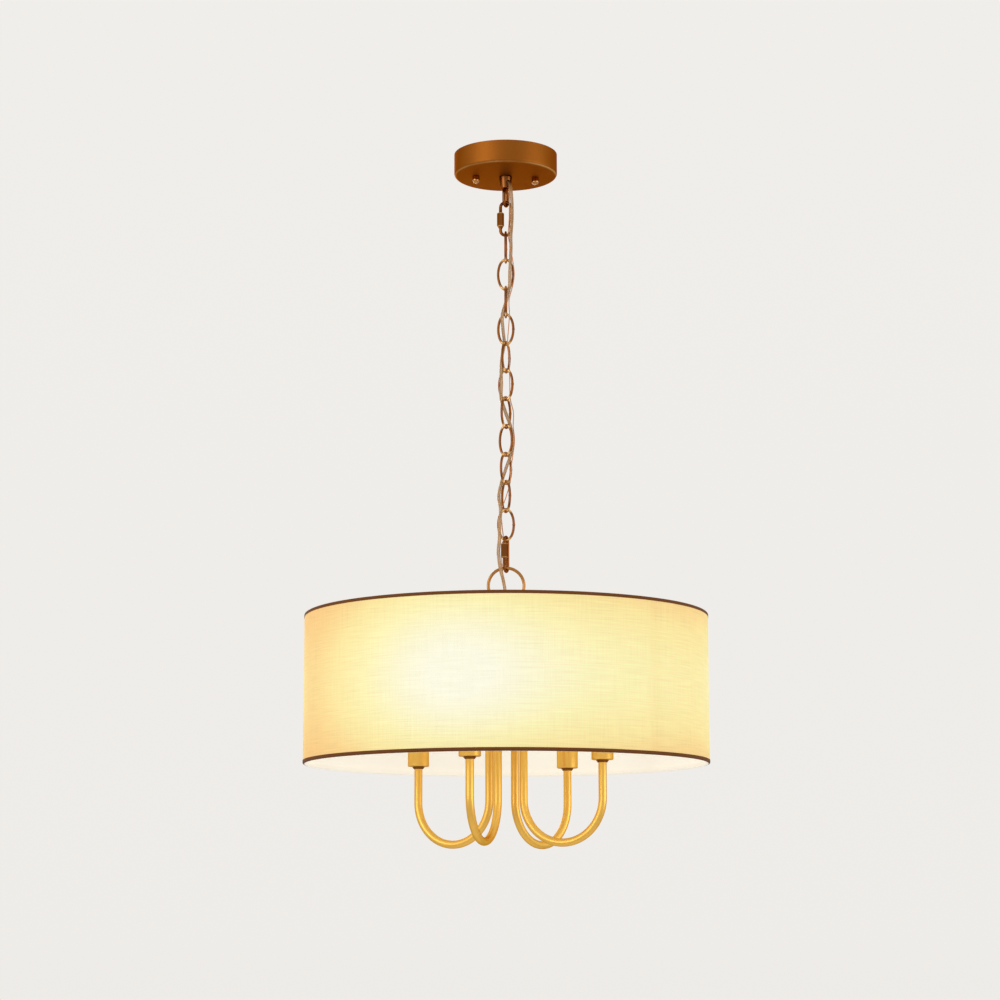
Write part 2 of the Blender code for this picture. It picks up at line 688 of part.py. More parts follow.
def make_quick_link(name, height, turn, boss_share, flipped, body, sleeve_body, steel):
    """A link with one open side, and the six-sided sleeve that screws over the opening."""
    reach = (QUICK_WIDTH - QUICK_WIRE) / 2
    straight = QUICK_LENGTH / 2 - QUICK_WIDTH / 2
    sleeve_length = SLEEVE_SHARE * 2 * straight
    boss_foot = -boss_share * straight
    sleeve_foot = boss_foot + BOSS_HEIGHT + GAP
    mouth_foot = sleeve_foot + QUICK_MOUTH_COVER
    swell = BOSS_DIAMETER / QUICK_WIRE
    leg = [
        (mouth_foot, 1),
        (sleeve_foot - GAP + BOSS_STEP, 1),
        (sleeve_foot - GAP, swell),
        (boss_foot + BOSS_STEP, swell),
        (boss_foot, 1),
    ]
    down = [(-reach, z) for z, _ in leg]
    bends = arc(0, -straight, reach, 180, 360, LOOP_STEPS)
    bends += arc(0, straight, reach, 0, 180, LOOP_STEPS)
    points = down + bends + [(-reach, mouth_foot + QUICK_MOUTH)]
    radii = [share for _, share in leg] + [1] * (len(bends) + 1)
    link = as_mesh(wire(name, upright(points), QUICK_WIRE, radii=radii))
    place(link, steel, body, (0, 0, height), turn, flipped)
    sleeve = hex_nut(f"{name}_sleeve", SLEEVE_ACROSS, sleeve_length, QUICK_WIRE / 2 + GAP)
    rise = sleeve_foot + sleeve_length / 2
    at = (-reach * math.cos(turn), -reach * math.sin(turn), height + (-rise if flipped else rise))
    place(sleeve, steel, sleeve_body, at, turn)


def make_chain_link(number, height, turn, body, brass):
    outline = oval(LINK_LENGTH, LINK_WIDTH, LINK_WIRE, LINK_END_RADIUS)
    link = wire(f"chain_link_{number:02d}", upright(outline), LINK_WIRE, closed=True)
    place(link, brass, body, (0, 0, height), turn)


def make_top_ring(body, brass):
    """The large ring, and the collar under it that screws on the stem and lets the cord in."""
    radius = (RING_DIAMETER - RING_WIRE) / 2
    outline = upright(circle(radius, MIDDLE_SIDES))
    ring = as_mesh(wire("top_ring", outline, RING_WIRE, closed=True))
    place(ring, brass, body, (0, 0, RING_MIDDLE), chain_turn(RING_TURN))
    top, foot = RING_COLLAR_TOP_DIAMETER / 2, RING_COLLAR_FOOT_DIAMETER / 2
    profile = [(0, RING_COLLAR_TOP), (top, RING_COLLAR_TOP), (foot, RING_COLLAR_FOOT), (0, RING_COLLAR_FOOT)]
    collar = helper(turned("ring_collar", profile, MIDDLE_SIDES, closed=False, where=CUTTERS))
    combine(ring, collar, "UNION")
    bore = cylinder("ring_bore", RING_BORE / 2, RING_COLLAR_FOOT - OVERRUN, RING_COLLAR_TOP + OVERRUN)
    combine(ring, bore, "DIFFERENCE")
    thread = cylinder("ring_thread", TUBE_HOLE, RING_COLLAR_FOOT - OVERRUN, STEM_TOP + GAP)
    combine(ring, thread, "DIFFERENCE")


def make_stem(body, steel):
    """The threaded tube from the ring to the hub, with the nuts under the spider and in the hub."""
    profile = tube_profile(TUBE_DIAMETER / 2, TUBE_BORE / 2, STEM_TOP, STEM_FOOT)
    place(turned("stem", profile, SMALL_SIDES), steel, body)
    for name, top in (("spider_nut", SPIDER_NUT_TOP), ("hub_nut", HUB_NUT_TOP)):
        nut = hex_nut(name, TUBE_NUT_ACROSS, TUBE_NUT_HEIGHT, TUBE_HOLE)
        place(nut, steel, body, (0, 0, top - TUBE_NUT_HEIGHT / 2))


def shade_ring_radius():
    """Radius of the middle of a wire ring, inside the rolled edge."""
    return SHADE_DIAMETER / 2 - SHADE_WALL - GAP - SHADE_WIRE / 2


def shade_ring_depth():
    """Depth of the middle of a wire ring below the edge that it stiffens."""
    return SHADE_WALL + GAP + SHADE_WIRE / 2


def spoke_turns():
    return [SPOKE_TURN + 2 * math.pi * number / SPOKE_COUNT for number in range(SPOKE_COUNT)]


def make_spider(body, white):
    """The shade's top ring, with spokes to the washer that the stem's nut clamps."""
    profile = tube_profile(WASHER_DIAMETER / 2, TUBE_HOLE, WASHER_TOP, WASHER_FOOT)
    spider = turned("shade_spider", profile, MIDDLE_SIDES)
    place(spider, white, body)
    radius, height = shade_ring_radius(), SHADE_TOP - shade_ring_depth()
    middle = (WASHER_TOP + WASHER_FOOT) / 2
    start = (WASHER_DIAMETER / 2 + TUBE_HOLE) / 2
    for number, turn in enumerate(spoke_turns(), 1):
        spoke = wire(
            f"spoke_{number}", [(start, 0, middle), (radius, 0, height)], SPOKE_WIRE, where=CUTTERS
        )
        combine(spider, helper(as_mesh(spoke), turn=turn), "UNION")
    outline = [(x, y, 0) for x, y in circle(radius, LARGE_SIDES)]
    ring = as_mesh(wire("spider_ring", outline, SHADE_WIRE, closed=True, steps=HOOP_STEPS, where=CUTTERS))
    combine(spider, helper(ring, (0, 0, height)), "UNION")


def make_bottom_ring(body, white):
    outline = [(x, y, 0) for x, y in circle(shade_ring_radius(), LARGE_SIDES)]
    ring = wire("shade_bottom_ring", outline, SHADE_WIRE, closed=True, steps=HOOP_STEPS)
    place(ring, white, body, (0, 0, SHADE_FOOT + shade_ring_depth()))


def make_shade(body, linen):
    """The cloth drum. Each edge rolls over its ring to a short flap inside, notched round the spokes."""
    outer = SHADE_DIAMETER / 2
    lining = outer - SHADE_WALL
    flap_back = lining - SHADE_WIRE - 2 * GAP
    flap_face = flap_back - SHADE_WALL
    profile = [
        (outer, SHADE_TOP),
        (outer, SHADE_FOOT),
        (flap_face, SHADE_FOOT),
        (flap_face, SHADE_FOOT + SHADE_FLAP),
        (flap_back, SHADE_FOOT + SHADE_FLAP),
        (flap_back, SHADE_FOOT + SHADE_WALL),
        (lining, SHADE_FOOT + SHADE_WALL),
        (lining, SHADE_TOP - SHADE_WALL),
        (flap_back, SHADE_TOP - SHADE_WALL),
        (flap_back, SHADE_TOP - SHADE_FLAP),
        (flap_face, SHADE_TOP - SHADE_FLAP),
        (flap_face, SHADE_TOP),
    ]
    shade = turned("shade", profile, LARGE_SIDES)
    place(shade, linen, body)
    half = SPOKE_WIRE / 2 + GAP
    height = SHADE_TOP - shade_ring_depth()
    for number, turn in enumerate(spoke_turns(), 1):
        low = (flap_face - OVERRUN, -half, SHADE_TOP - SHADE_FLAP - OVERRUN)
        high = (flap_back + GAP, half, height + half + GAP)
        notch = box(f"spoke_notch_{number}", low, high)
        notch.rotation_euler.z = turn
        combine(shade, notch, "DIFFERENCE")


def make_hub(body, brass):
    """The cup that the four arms screw into, and the cover that screws over it."""
    outer = HUB_DIAMETER / 2
    inner = outer - HUB_WALL
    cup = [
        (0, HUB_FLOOR),
        (inner, HUB_FLOOR),
        (inner, HUB_HEIGHT),
        (outer, HUB_HEIGHT),
        (outer, HUB_CHAMFER),
        (outer - HUB_CHAMFER, 0),
        (0, 0),
    ]
    hub = turned("hub", cup, MIDDLE_SIDES, closed=False)
    place(hub, brass, body, (0, 0, HUB_FOOT))
    for number, turn in enumerate(arm_turns(), 1):
        hole = cylinder(f"arm_hole_{number}", ARM_HOLE, HUB_FOOT - OVERRUN, HUB_FOOT + HUB_FLOOR + OVERRUN)
        hole.location = Vector(around(ARM_INNER_RADIUS, turn))
        combine(hub, hole, "DIFFERENCE")
    skirt_back = outer + GAP
    skirt_face = skirt_back + HUB_WALL
    lid = [
        (skirt_face - HUB_CHAMFER, COVER_TOP),
        (skirt_face, COVER_TOP - HUB_CHAMFER),
        (skirt_face, COVER_TOP - COVER_SKIRT),
        (skirt_back, COVER_TOP - COVER_SKIRT),
        (skirt_back, COVER_TOP - COVER_THICKNESS),
        (TUBE_HOLE, COVER_TOP - COVER_THICKNESS),
        (TUBE_HOLE, COVER_TOP),
    ]
    place(turned("hub_cover", lid, MIDDLE_SIDES), brass, body)


def arm_turns():
    return [2 * math.pi * number / ARM_COUNT for number in range(ARM_COUNT)]


def around(radius, turn, height=0.0):
    return (radius * math.cos(turn), radius * math.sin(turn), height)


def arm_heading(number):
    """The way that an arm points from its hole in the hub: outwards, and its own swivel."""
    return arm_turns()[number - 1] + math.radians(ARM_SWIVELS[number - 1])


def arm_end(number, height):
    """A point on the upright line through an arm's outer end."""
    hole = Vector(around(ARM_INNER_RADIUS, arm_turns()[number - 1]))
    return hole + Vector(around(ARM_OUTER_RADIUS - ARM_INNER_RADIUS, arm_heading(number), height))


def make_arm(number, body, brass):
    """A tube from the hub down, round a half circle and up into its lampholder."""
    bend = (ARM_OUTER_RADIUS - ARM_INNER_RADIUS) / 2
    points = [(0, ARM_INNER_TOP)]
    points += arc(bend, BEND_MIDDLE, bend, 180, 360, ARM_BEND_STEPS)
    points += [(2 * bend, ARM_OUTER_TOP)]
    arm = wire(f"arm_{number}", upright(points), ARM_DIAMETER)
    hole = around(ARM_INNER_RADIUS, arm_turns()[number - 1])
    place(arm, brass, body, hole, turn=arm_heading(number))


def make_socket_cup(number, body, brass):
    """The tall sleeve round the lampholder, and the stepped washer that it stands on."""
    outer, inner = CUP_DIAMETER / 2, CUP_DIAMETER / 2 - CUP_WALL
    profile = [
        (outer, CUP_HEIGHT),
        (outer, 0),
        (ARM_HOLE, 0),
        (ARM_HOLE, CUP_FLOOR),
        (inner, CUP_FLOOR),
        (inner, CUP_HEIGHT),
    ]
    cup = turned(f"socket_cup_{number}", profile, MIDDLE_SIDES)
    place(cup, brass, body, arm_end(number, CUP_FOOT))
    rim, foot = CUP_WASHER_DIAMETER / 2, CUP_WASHER_FOOT_DIAMETER / 2
    profile = [
        (rim, 0),
        (rim, -CUP_WASHER_STEP),
        (foot, -CUP_WASHER_STEP),
        (foot, -CUP_WASHER_HEIGHT),
        (ARM_HOLE, -CUP_WASHER_HEIGHT),
        (ARM_HOLE, 0),
    ]
    washer = turned(f"cup_washer_{number}", profile, SMALL_SIDES)
    place(washer, brass, body, arm_end(number, CUP_FOOT - GAP))


def make_lampholder(number, body, white):
    """The socket: an arm's end goes into its foot, and a bulb's cap into the well on top."""
    rim = CUP_DIAMETER / 2 - CUP_WALL - HOLDER_RIM_CLEARANCE
    middle = HOLDER_BODY_DIAMETER / 2
    well = BULB_CAP_DIAMETER / 2 + BULB_CAP_CLEARANCE
    profile = [
        (0, HOLDER_HEIGHT - HOLDER_WELL),
        (well, HOLDER_HEIGHT - HOLDER_WELL),
        (well, HOLDER_HEIGHT),
        (rim, HOLDER_HEIGHT),
        (rim, HOLDER_HEIGHT - HOLDER_RIM_HEIGHT),
        (middle, HOLDER_HEIGHT - HOLDER_RIM_HEIGHT - HOLDER_RIM_SLOPE),
        (middle, 0),
        (ARM_HOLE, 0),
        (ARM_HOLE, HOLDER_REACH + GAP),
        (0, HOLDER_REACH + GAP),
    ]
    holder = turned(f"lampholder_{number}", profile, SMALL_SIDES, closed=False)
    place(holder, white, body, arm_end(number, HOLDER_FOOT))


def make_bulb(number, body, glass):
    """A candle bulb, standing on its contact: cap, shoulder and glass in one turned piece."""
    radius, cap, contact = BULB_DIAMETER / 2, BULB_CAP_DIAMETER / 2, BULB_CONTACT_DIAMETER / 2
    glass_foot = HOLDER_WELL - GAP + BULB_SHOULDER
    profile = [(share * radius, glass_foot + rise * BULB_GLASS_HEIGHT) for rise, share in BULB_SHARES]
    profile += [(cap, HOLDER_WELL - GAP), (cap, BULB_CONTACT_HEIGHT), (contact, 0), (0, 0)]
    bulb = turned(f"bulb_{number}", profile, SMALL_SIDES, closed=False)
    seat = HOLDER_TOP - HOLDER_WELL + GAP
    place(bulb, glass, body, arm_end(number, seat))


def make_cord(name, route, diameter, body, finish):
    place(wire(name, smooth_route(route), diameter), finish, body, turn=CHAIN_TURN)


def main():
    clear_scene()
    brass = material("satin_brass", (0.80, 0.52, 0.20), 0.32, 1.0)
    steel = material("zinc_steel", (0.66, 0.66, 0.64), 0.35, 1.0)
    green = material("green_screw", (0.05, 0.32, 0.12), 0.4, 0.6)
    white_wire = material("white_wire", (0.86, 0.84, 0.78), 0.45)
    linen = material("cream_linen", (0.93, 0.86, 0.72), 0.85)
    ceramic = material("lampholder_white", (0.88, 0.87, 0.83), 0.5)
    bulb_glass = material("lit_bulb", (1.0, 0.90, 0.70), 0.3, glow=2.0)
    clear = material("clear_cord", (0.72, 0.66, 0.52), 0.25, alpha=0.75)
    copper = material("bare_copper", (0.72, 0.38, 0.20), 0.35, 1.0)

    ceiling = pivot("ceiling", 0)
    make_canopy(ceiling, brass)
    make_crossbar(ceiling, steel)
    make_canopy_screws(ceiling, brass, steel)
    make_ground_screw(ceiling, green)
    make_nipple(ceiling, steel)
    make_canopy_loop(ceiling, brass)
    make_cord("power_cord", CORD_ROUTE, CORD_DIAMETER, ceiling, clear)
    make_cord("earth_wire", EARTH_ROUTE, EARTH_DIAMETER, ceiling, copper)

    upper = pivot("upper_quick_link_pivot", EYE_FOOT + EYE_WIRE / 2, ceiling)
    upper_sleeve = pivot("upper_sleeve_pivot", UPPER_QUICK_TOP - QUICK_LENGTH / 2, upper)
    make_quick_link(
        "upper_quick_link",
        UPPER_QUICK_TOP - QUICK_LENGTH / 2,
        chain_turn(UPPER_QUICK_TURN),
        UPPER_BOSS_SHARE,
        False,
        upper,
        upper_sleeve,
        brass,
    )

    above, hanger = upper, UPPER_QUICK_FOOT + QUICK_WIRE / 2
    for number, turn in enumerate(LINK_TURNS, 1):
        above = pivot(f"chain_link_{number:02d}_pivot", hanger, above)
        top = FIRST_LINK_TOP - (number - 1) * LINK_PITCH
        make_chain_link(number, top - LINK_LENGTH / 2, chain_turn(turn), above, brass)
        hanger = top - LINK_LENGTH + LINK_WIRE / 2

    lower = pivot("lower_quick_link_pivot", hanger, above)
    lower_sleeve = pivot("lower_sleeve_pivot", LOWER_QUICK_TOP - QUICK_LENGTH / 2, lower)
    make_quick_link(
        "lower_quick_link",
        LOWER_QUICK_TOP - QUICK_LENGTH / 2,
        chain_turn(LOWER_QUICK_TURN),
        LOWER_BOSS_SHARE,
        True,
        lower,
        lower_sleeve,
        brass,
    )

    lamp = pivot("lamp_pivot", LOWER_QUICK_FOOT + QUICK_WIRE / 2, lower)
    make_top_ring(lamp, brass)
    make_stem(lamp, steel)
    make_spider(lamp, white_wire)
    make_bottom_ring(lamp, white_wire)
    make_shade(lamp, linen)
    make_hub(lamp, brass)
    for number in range(1, ARM_COUNT + 1):
        make_arm(number, lamp, brass)
        make_socket_cup(number, lamp, brass)
        make_lampholder(number, lamp, ceramic)
        make_bulb(number, pivot(f"bulb_{number}_pivot", HOLDER_TOP, lamp), bulb_glass)


main()
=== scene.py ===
# %% [markdown]
# # A drum chandelier, dressed
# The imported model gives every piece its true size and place. This lesson puts the real surfaces on it:
# satin brass tubes, a woven drum lit from inside, a chain with a clear flat cord through it.

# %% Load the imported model
import math

import bmesh
import bpy
from mathutils import Matrix, Vector


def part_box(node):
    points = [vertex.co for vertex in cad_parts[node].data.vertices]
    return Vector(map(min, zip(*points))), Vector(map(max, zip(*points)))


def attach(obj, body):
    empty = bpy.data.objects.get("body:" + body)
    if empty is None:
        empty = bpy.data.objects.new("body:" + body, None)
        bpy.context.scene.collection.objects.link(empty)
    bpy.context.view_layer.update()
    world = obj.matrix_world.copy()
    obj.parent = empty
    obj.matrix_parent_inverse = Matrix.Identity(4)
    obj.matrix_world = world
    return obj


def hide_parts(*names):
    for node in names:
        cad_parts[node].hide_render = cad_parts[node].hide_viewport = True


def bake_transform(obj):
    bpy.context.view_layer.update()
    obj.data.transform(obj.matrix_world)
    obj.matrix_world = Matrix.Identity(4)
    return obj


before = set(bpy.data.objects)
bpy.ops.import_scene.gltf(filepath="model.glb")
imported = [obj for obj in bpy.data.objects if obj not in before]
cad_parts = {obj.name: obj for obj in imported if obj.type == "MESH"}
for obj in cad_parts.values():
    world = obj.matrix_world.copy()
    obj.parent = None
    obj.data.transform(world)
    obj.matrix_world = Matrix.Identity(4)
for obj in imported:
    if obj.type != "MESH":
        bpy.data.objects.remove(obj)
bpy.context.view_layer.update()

# %% [markdown]
# ## Places
# Every size that a node already has is read from its box, so a piece can't drift from what carries it.
# Only what a box can't say, such as how a link is turned, is a value here.

# %% Read places and sizes from the frame
GAP = 0.0003  # clearance between pieces that fit into each other
CHAIN_TURN = math.radians(27)
# The turns of the eye and the links, in degrees from the chain's own
EYE_TURN, UPPER_QUICK_TURN, LOWER_QUICK_TURN = 70, 0, 72
LINK_TURNS = (88, -3, 88, -10, 62, -31, 56, -38, 50, -60, 4)
ARM_NUMBERS = (1, 2, 3, 4)


def top(node):
    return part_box(node)[1].z


def foot(node):
    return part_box(node)[0].z


def middle(node):
    low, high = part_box(node)
    return (low + high) / 2


def tall(node):
    return top(node) - foot(node)


def radius(node):
    low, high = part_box(node)
    return (high.x - low.x) / 2


def span(node):
    return foot(node), top(node), radius(node)


def chain_turn(degrees):
    return CHAIN_TURN + math.radians(degrees)


def around(distance, turn, height=0.0):
    return Vector((distance * math.cos(turn), distance * math.sin(turn), height))


def arm_place(number):
    """(turn, start) of an arm: where its inner end stands in the hub, and the way it points from there."""
    start = around(ARM_HOLE_REACH, math.radians(90) * (number - 1))
    out = middle(f"socket_cup_{number}") - start
    return math.atan2(out.y, out.x), start


def from_first_arm(number):
    """Moves a piece of the first arm onto another arm."""
    first_turn, first_start = arm_place(1)
    turn, start = arm_place(number)
    spin = Matrix.Rotation(turn - first_turn, 4, "Z")
    return Matrix.Translation(start) @ spin @ Matrix.Translation(-first_start)


ARM_TUBE = 0.0100
ARM_HOLE_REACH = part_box("arm_1")[0].x + ARM_TUBE / 2
SHADE_FOOT, SHADE_TOP, SHADE_RADIUS = span("shade")
ARM_REACH = middle("socket_cup_1").x
print("shade radius", round(SHADE_RADIUS, 4), "arm reach", round(ARM_REACH, 4))

# %% [markdown]
# ## The camera
# The lamp hangs above eye height, so the camera looks up at it by nearly ten degrees. A long lens from
# three metres keeps the two edges of the drum almost parallel.

# %% Camera
CAMERA_TURN = math.radians(27)
CAMERA_DISTANCE = 3.112
CAMERA_SIDESTEP = -0.008
CAMERA_HEIGHT = -0.9765
CAMERA_PITCH = math.radians(9.64)
CAMERA_ROLL = math.radians(0.05)
CAMERA_LENS = 90.8


def add_camera():
    away = Vector((math.sin(CAMERA_TURN), -math.cos(CAMERA_TURN), 0))
    right = Vector((math.cos(CAMERA_TURN), math.sin(CAMERA_TURN), 0))
    place = away * CAMERA_DISTANCE + right * CAMERA_SIDESTEP + Vector((0, 0, CAMERA_HEIGHT))
    bpy.ops.object.camera_add(location=place)
    camera = bpy.context.object
    camera.rotation_euler = (math.pi / 2 + CAMERA_PITCH, CAMERA_ROLL, CAMERA_TURN)
    camera.data.lens = CAMERA_LENS
    camera.data.clip_end = 40  # metres, well past the floor's far edge
    bpy.context.scene.camera = camera


bpy.ops.object.select_all(action="DESELECT")
add_camera()
bpy.context.scene.view_settings.view_transform = "Standard"

# %% [markdown]
# ## Shader maths
# A node tree is easier to read as a formula. Field wraps one socket and gives it the usual operators, and
# each operator adds the Math node that it stands for. Graph adds any other node to a tree, and Finish is
# the graph of one material.

# %% Helpers for materials


class Field:
    """A socket of a node tree, with arithmetic."""

    def __init__(self, tree, socket):
        self.tree = tree
        self.socket = socket

    def maths(self, operation, *others):
        node = self.tree.nodes.new("ShaderNodeMath")
        node.operation = operation
        for slot, value in zip(node.inputs, (self, *others)):
            feed(self.tree, slot, value)
        return Field(self.tree, node.outputs[0])

    def __add__(self, other):
        return self.maths("ADD", other)

    def __sub__(self, other):
        return self.maths("SUBTRACT", other)

    def __rsub__(self, other):
        return self.maths("MULTIPLY_ADD", -1, other)

    def __mul__(self, other):
        return self.maths("MULTIPLY", other)

    def __truediv__(self, other):
        return self.maths("DIVIDE", other)

    def __pow__(self, other):
        return self.maths("POWER", other)

    __radd__ = __add__
    __rmul__ = __mul__

    def clamped(self):
        return self.maths("MINIMUM", 1).maths("MAXIMUM", 0)

    def bump(self, width):
        """1 where the value is zero, falling off smoothly on both sides over about that width."""
        ratio = self / width
        return (ratio * ratio * -1).maths("EXPONENT")


def feed(tree, socket, value):
    """Links a field into a socket, or sets the socket to a number, colour or vector."""
    if isinstance(value, Field):
        tree.links.new(value.socket, socket)
    elif isinstance(value, (int, float)):
        socket.default_value = value
    elif len(value) == 3 and len(socket.default_value) == 4:
        socket.default_value = (*value, 1)
    else:
        socket.default_value = value


def set_stops(ramp, stops):
    """Sets a ramp's stops from (place, colour) pairs."""
    while len(ramp.elements) < len(stops):
        ramp.elements.new(1.0)
    for element, (place, colour) in zip(ramp.elements, stops):
        element.position = place
        element.color = (*colour, 1)


class Graph:
    """A node tree."""

    def __init__(self, tree):
        self.tree = tree

    def node(self, kind, settings=None, sockets=None, out=0):
        """Adds a node: its type, its settings or a ramp's stops, then values or fields for its sockets."""
        node = self.tree.nodes.new(kind)
        for key, value in (settings or {}).items():
            if key == "stops":
                set_stops(node.color_ramp, value)
            else:
                setattr(node, key, value)
        for key, value in (sockets or {}).items():
            feed(self.tree, node.inputs[key], value)
        return Field(self.tree, node.outputs[out])

    def parts(self, where):
        """The three numbers of a place or a direction."""
        split = self.node("ShaderNodeSeparateXYZ", None, {0: where}).socket.node
        return [Field(self.tree, split.outputs[number]) for number in range(3)]

    def seen(self):
        """1 for a ray from the camera, also by way of a mirror or a glass, and 0 for any other."""
        kinds = ("Camera", "Glossy", "Transmission")
        rays = [self.node("ShaderNodeLightPath", out=f"Is {kind} Ray") for kind in kinds]
        return (rays[0] + rays[1] + rays[2]).clamped()


class Finish(Graph):
    """A material with one Principled shader, and the constants of its sockets by their names."""

    def __init__(self, name, constants=None):
        self.material = bpy.data.materials.new(name)
        self.material.use_nodes = True
        super().__init__(self.material.node_tree)
        self.shader = self.tree.nodes["Principled BSDF"]
        for socket, value in (constants or {}).items():
            self.set(socket, value)

    def set(self, socket, value):
        feed(self.tree, self.shader.inputs[socket], value)

    def place(self):
        return self.node("ShaderNodeTexCoord", out="Object")

    def noise(self, scale, detail=3, stretch=(1, 1, 1), where=None):
        """Noise of about that many features to a metre, squeezed along the axes by stretch."""
        where = where or self.place()
        squeezed = self.node("ShaderNodeMapping", None, {"Vector": where, "Scale": stretch})
        return self.node("ShaderNodeTexNoise", None, {"Vector": squeezed, "Scale": scale, "Detail": detail})

    def mix(self, share, first, second):
        """A colour between two others."""
        kind = {"data_type": "RGBA", "clamp_factor": True}
        return self.node("ShaderNodeMix", kind, {0: share, 6: first, 7: second}, out=2)

    def raise_by(self, height, depth, strength):
        """Bump from a height between 0 and 1 that stands for that depth in metres."""
        sockets = {"Height": height, "Distance": depth, "Strength": strength}
        self.set("Normal", self.node("ShaderNodeBump", None, sockets))


# %% [markdown]
# ## Metal
# The arms and cups are steel with a satin brass lacquer, fine sprayed grain under a clear film, so the
# highlight is broad and a little uneven. The chain, its eye, the cup washers and the canopy have darker,
# browner copies of it, which paint the shade and the dark reflections of a dim room. A painted highlight is
# added where links bear on each other, which is also where they rub bright, along the sleeves' rims and
# along the canopy's rolled edge. Image textures could give this too, but noise on Object coordinates has no
# seams and stays sharp from any distance.

# %% Metals
BRASS_LIGHT = (0.91, 0.55, 0.125)
BRASS_DEEP = (0.77, 0.44, 0.084)
GOLD_TINT = (0.66, 0.46, 0.27)  # what the lacquer on the brass turns to at a glancing angle
RING_LIGHT = (0.50, 0.24, 0.070)
RING_DEEP = (0.26, 0.105, 0.026)
# The chain's brass is a darker, browner copy of the arms': painted shade and painted dark reflections of the
# room round it.
CHAIN_LIGHT = (0.28, 0.098, 0.025)
CHAIN_DEEP = (0.12, 0.040, 0.010)
# The canopy's is another darker copy of the arms' brass, painted shade for the dim light under the ceiling.
SHADED_CANOPY_LIGHT = (0.30, 0.098, 0.013)
SHADED_CANOPY_DEEP = (0.23, 0.070, 0.009)
BROWN_TINT = (0.62, 0.36, 0.20)  # and that on the chain and the canopy
NO_TINT = (1.0, 1.0, 1.0)
GLINT_AND_RUBBED = (0.95, 0.60, 0.25)
# How the painted highlight is broken up: size of the patches, their detail and contrast, what is taken off,
# its strongest share
LINK_PATCHES = (260, 3, 2.0, 0.25, 1.0)
CANOPY_PATCHES = (16, 2, 2.6, 0.75, 0.55)


def sprayed_metal(
    name, light, deep, roughness, grain_depth, glancing=NO_TINT, glint_and_wear=None, patches=LINK_PATCHES
):
    """A glint function, if given, turns a height into how strongly a painted highlight shows there; on the
    links it also stands for lacquer that they rub through.
    """
    finish = Finish(name, {"Metallic": 1.0, "Specular Tint": glancing})
    cloud = finish.noise(45, 4)
    grain = finish.noise(2600, 2)
    lacquer = finish.mix(cloud * 0.7 + grain * 0.3, deep, light)
    if glint_and_wear:
        scale, detail, contrast, less, most = patches
        glint_and_rubbed = glint_and_wear(finish.parts(finish.place())[2]) * (finish.noise(scale, detail) * contrast - less)
        lacquer = finish.mix(glint_and_rubbed.clamped() * most, lacquer, GLINT_AND_RUBBED)
    finish.set("Base Color", lacquer)
    finish.set("Roughness", roughness + (cloud - 0.5) * 0.10 + (grain - 0.5) * 0.08)
    finish.raise_by(grain, grain_depth, 0.35)
    return finish.material


CHAIN_PITCH = top("chain_link_01") - top("chain_link_02")
FIRST_CONTACT = (foot("chain_link_01") + top("chain_link_02")) / 2
CANOPY_GLINT_LINE = foot("canopy") + 0.0014  # where a painted highlight runs, just over the canopy's lowest face
CONTACT_GLINT_WIDTH, SLEEVE_GLINT_WIDTH, CANOPY_GLINT_WIDTH = 0.0022, 0.0008, 0.0007


def link_glint_and_wear(height):
    """A painted highlight where links bear on each other, which is also where they rub bright, once every
    pitch down the chain.
    """
    turns = (height - FIRST_CONTACT) / CHAIN_PITCH + 0.5
    return ((turns.maths("FRACT") - 0.5) * CHAIN_PITCH).bump(CONTACT_GLINT_WIDTH)


def sleeve_glint(height):
    """A painted highlight along the sleeves' end rims."""
    rims = [side(f"{end}_quick_link_sleeve") for end in ("upper", "lower") for side in (foot, top)]
    bands = [(height - rim).bump(SLEEVE_GLINT_WIDTH) for rim in rims]
    return bands[0] + bands[1] + bands[2] + bands[3]


def canopy_glint(height):
    """A painted highlight along the canopy's rolled lower edge."""
    return (height - CANOPY_GLINT_LINE).bump(CANOPY_GLINT_WIDTH)


def plated_steel():
    """Zinc plate: bluish grey with faint large crystals."""
    finish = Finish("zinc_plate", {"Metallic": 1.0})
    spangle = finish.node("ShaderNodeTexVoronoi", None, {"Vector": finish.place(), "Scale": 420.0})
    cloud = finish.noise(90, 3)
    finish.set("Base Color", finish.mix(cloud, (0.50, 0.50, 0.49), (0.72, 0.72, 0.70)))
    finish.set("Roughness", 0.30 + spangle * 0.12 + cloud * 0.08)
    return finish.material


def painted(name, light, deep, roughness, grain=900):
    """Paint or enamel, with a faint orange-peel skin."""
    finish = Finish(name)
    cloud = finish.noise(60, 3)
    peel = finish.noise(grain, 2)
    finish.set("Base Color", finish.mix(cloud, deep, light))
    finish.set("Roughness", roughness + (peel - 0.5) * 0.12)
    finish.raise_by(peel, 0.00008, 0.4)
    return finish.material


satin_brass = sprayed_metal("satin_brass", BRASS_LIGHT, BRASS_DEEP, 0.36, 0.00003, GOLD_TINT)
chain_brass = sprayed_metal("chain_brass", CHAIN_LIGHT, CHAIN_DEEP, 0.20, 0.00002, BROWN_TINT)
link_brass = sprayed_metal("link_brass", CHAIN_LIGHT, CHAIN_DEEP, 0.20, 0.00002, BROWN_TINT, link_glint_and_wear)
sleeve_brass = sprayed_metal("sleeve_brass", CHAIN_LIGHT, CHAIN_DEEP, 0.22, 0.00002, BROWN_TINT, sleeve_glint)
ring_brass = sprayed_metal("ring_brass", RING_LIGHT, RING_DEEP, 0.18, 0.00002)
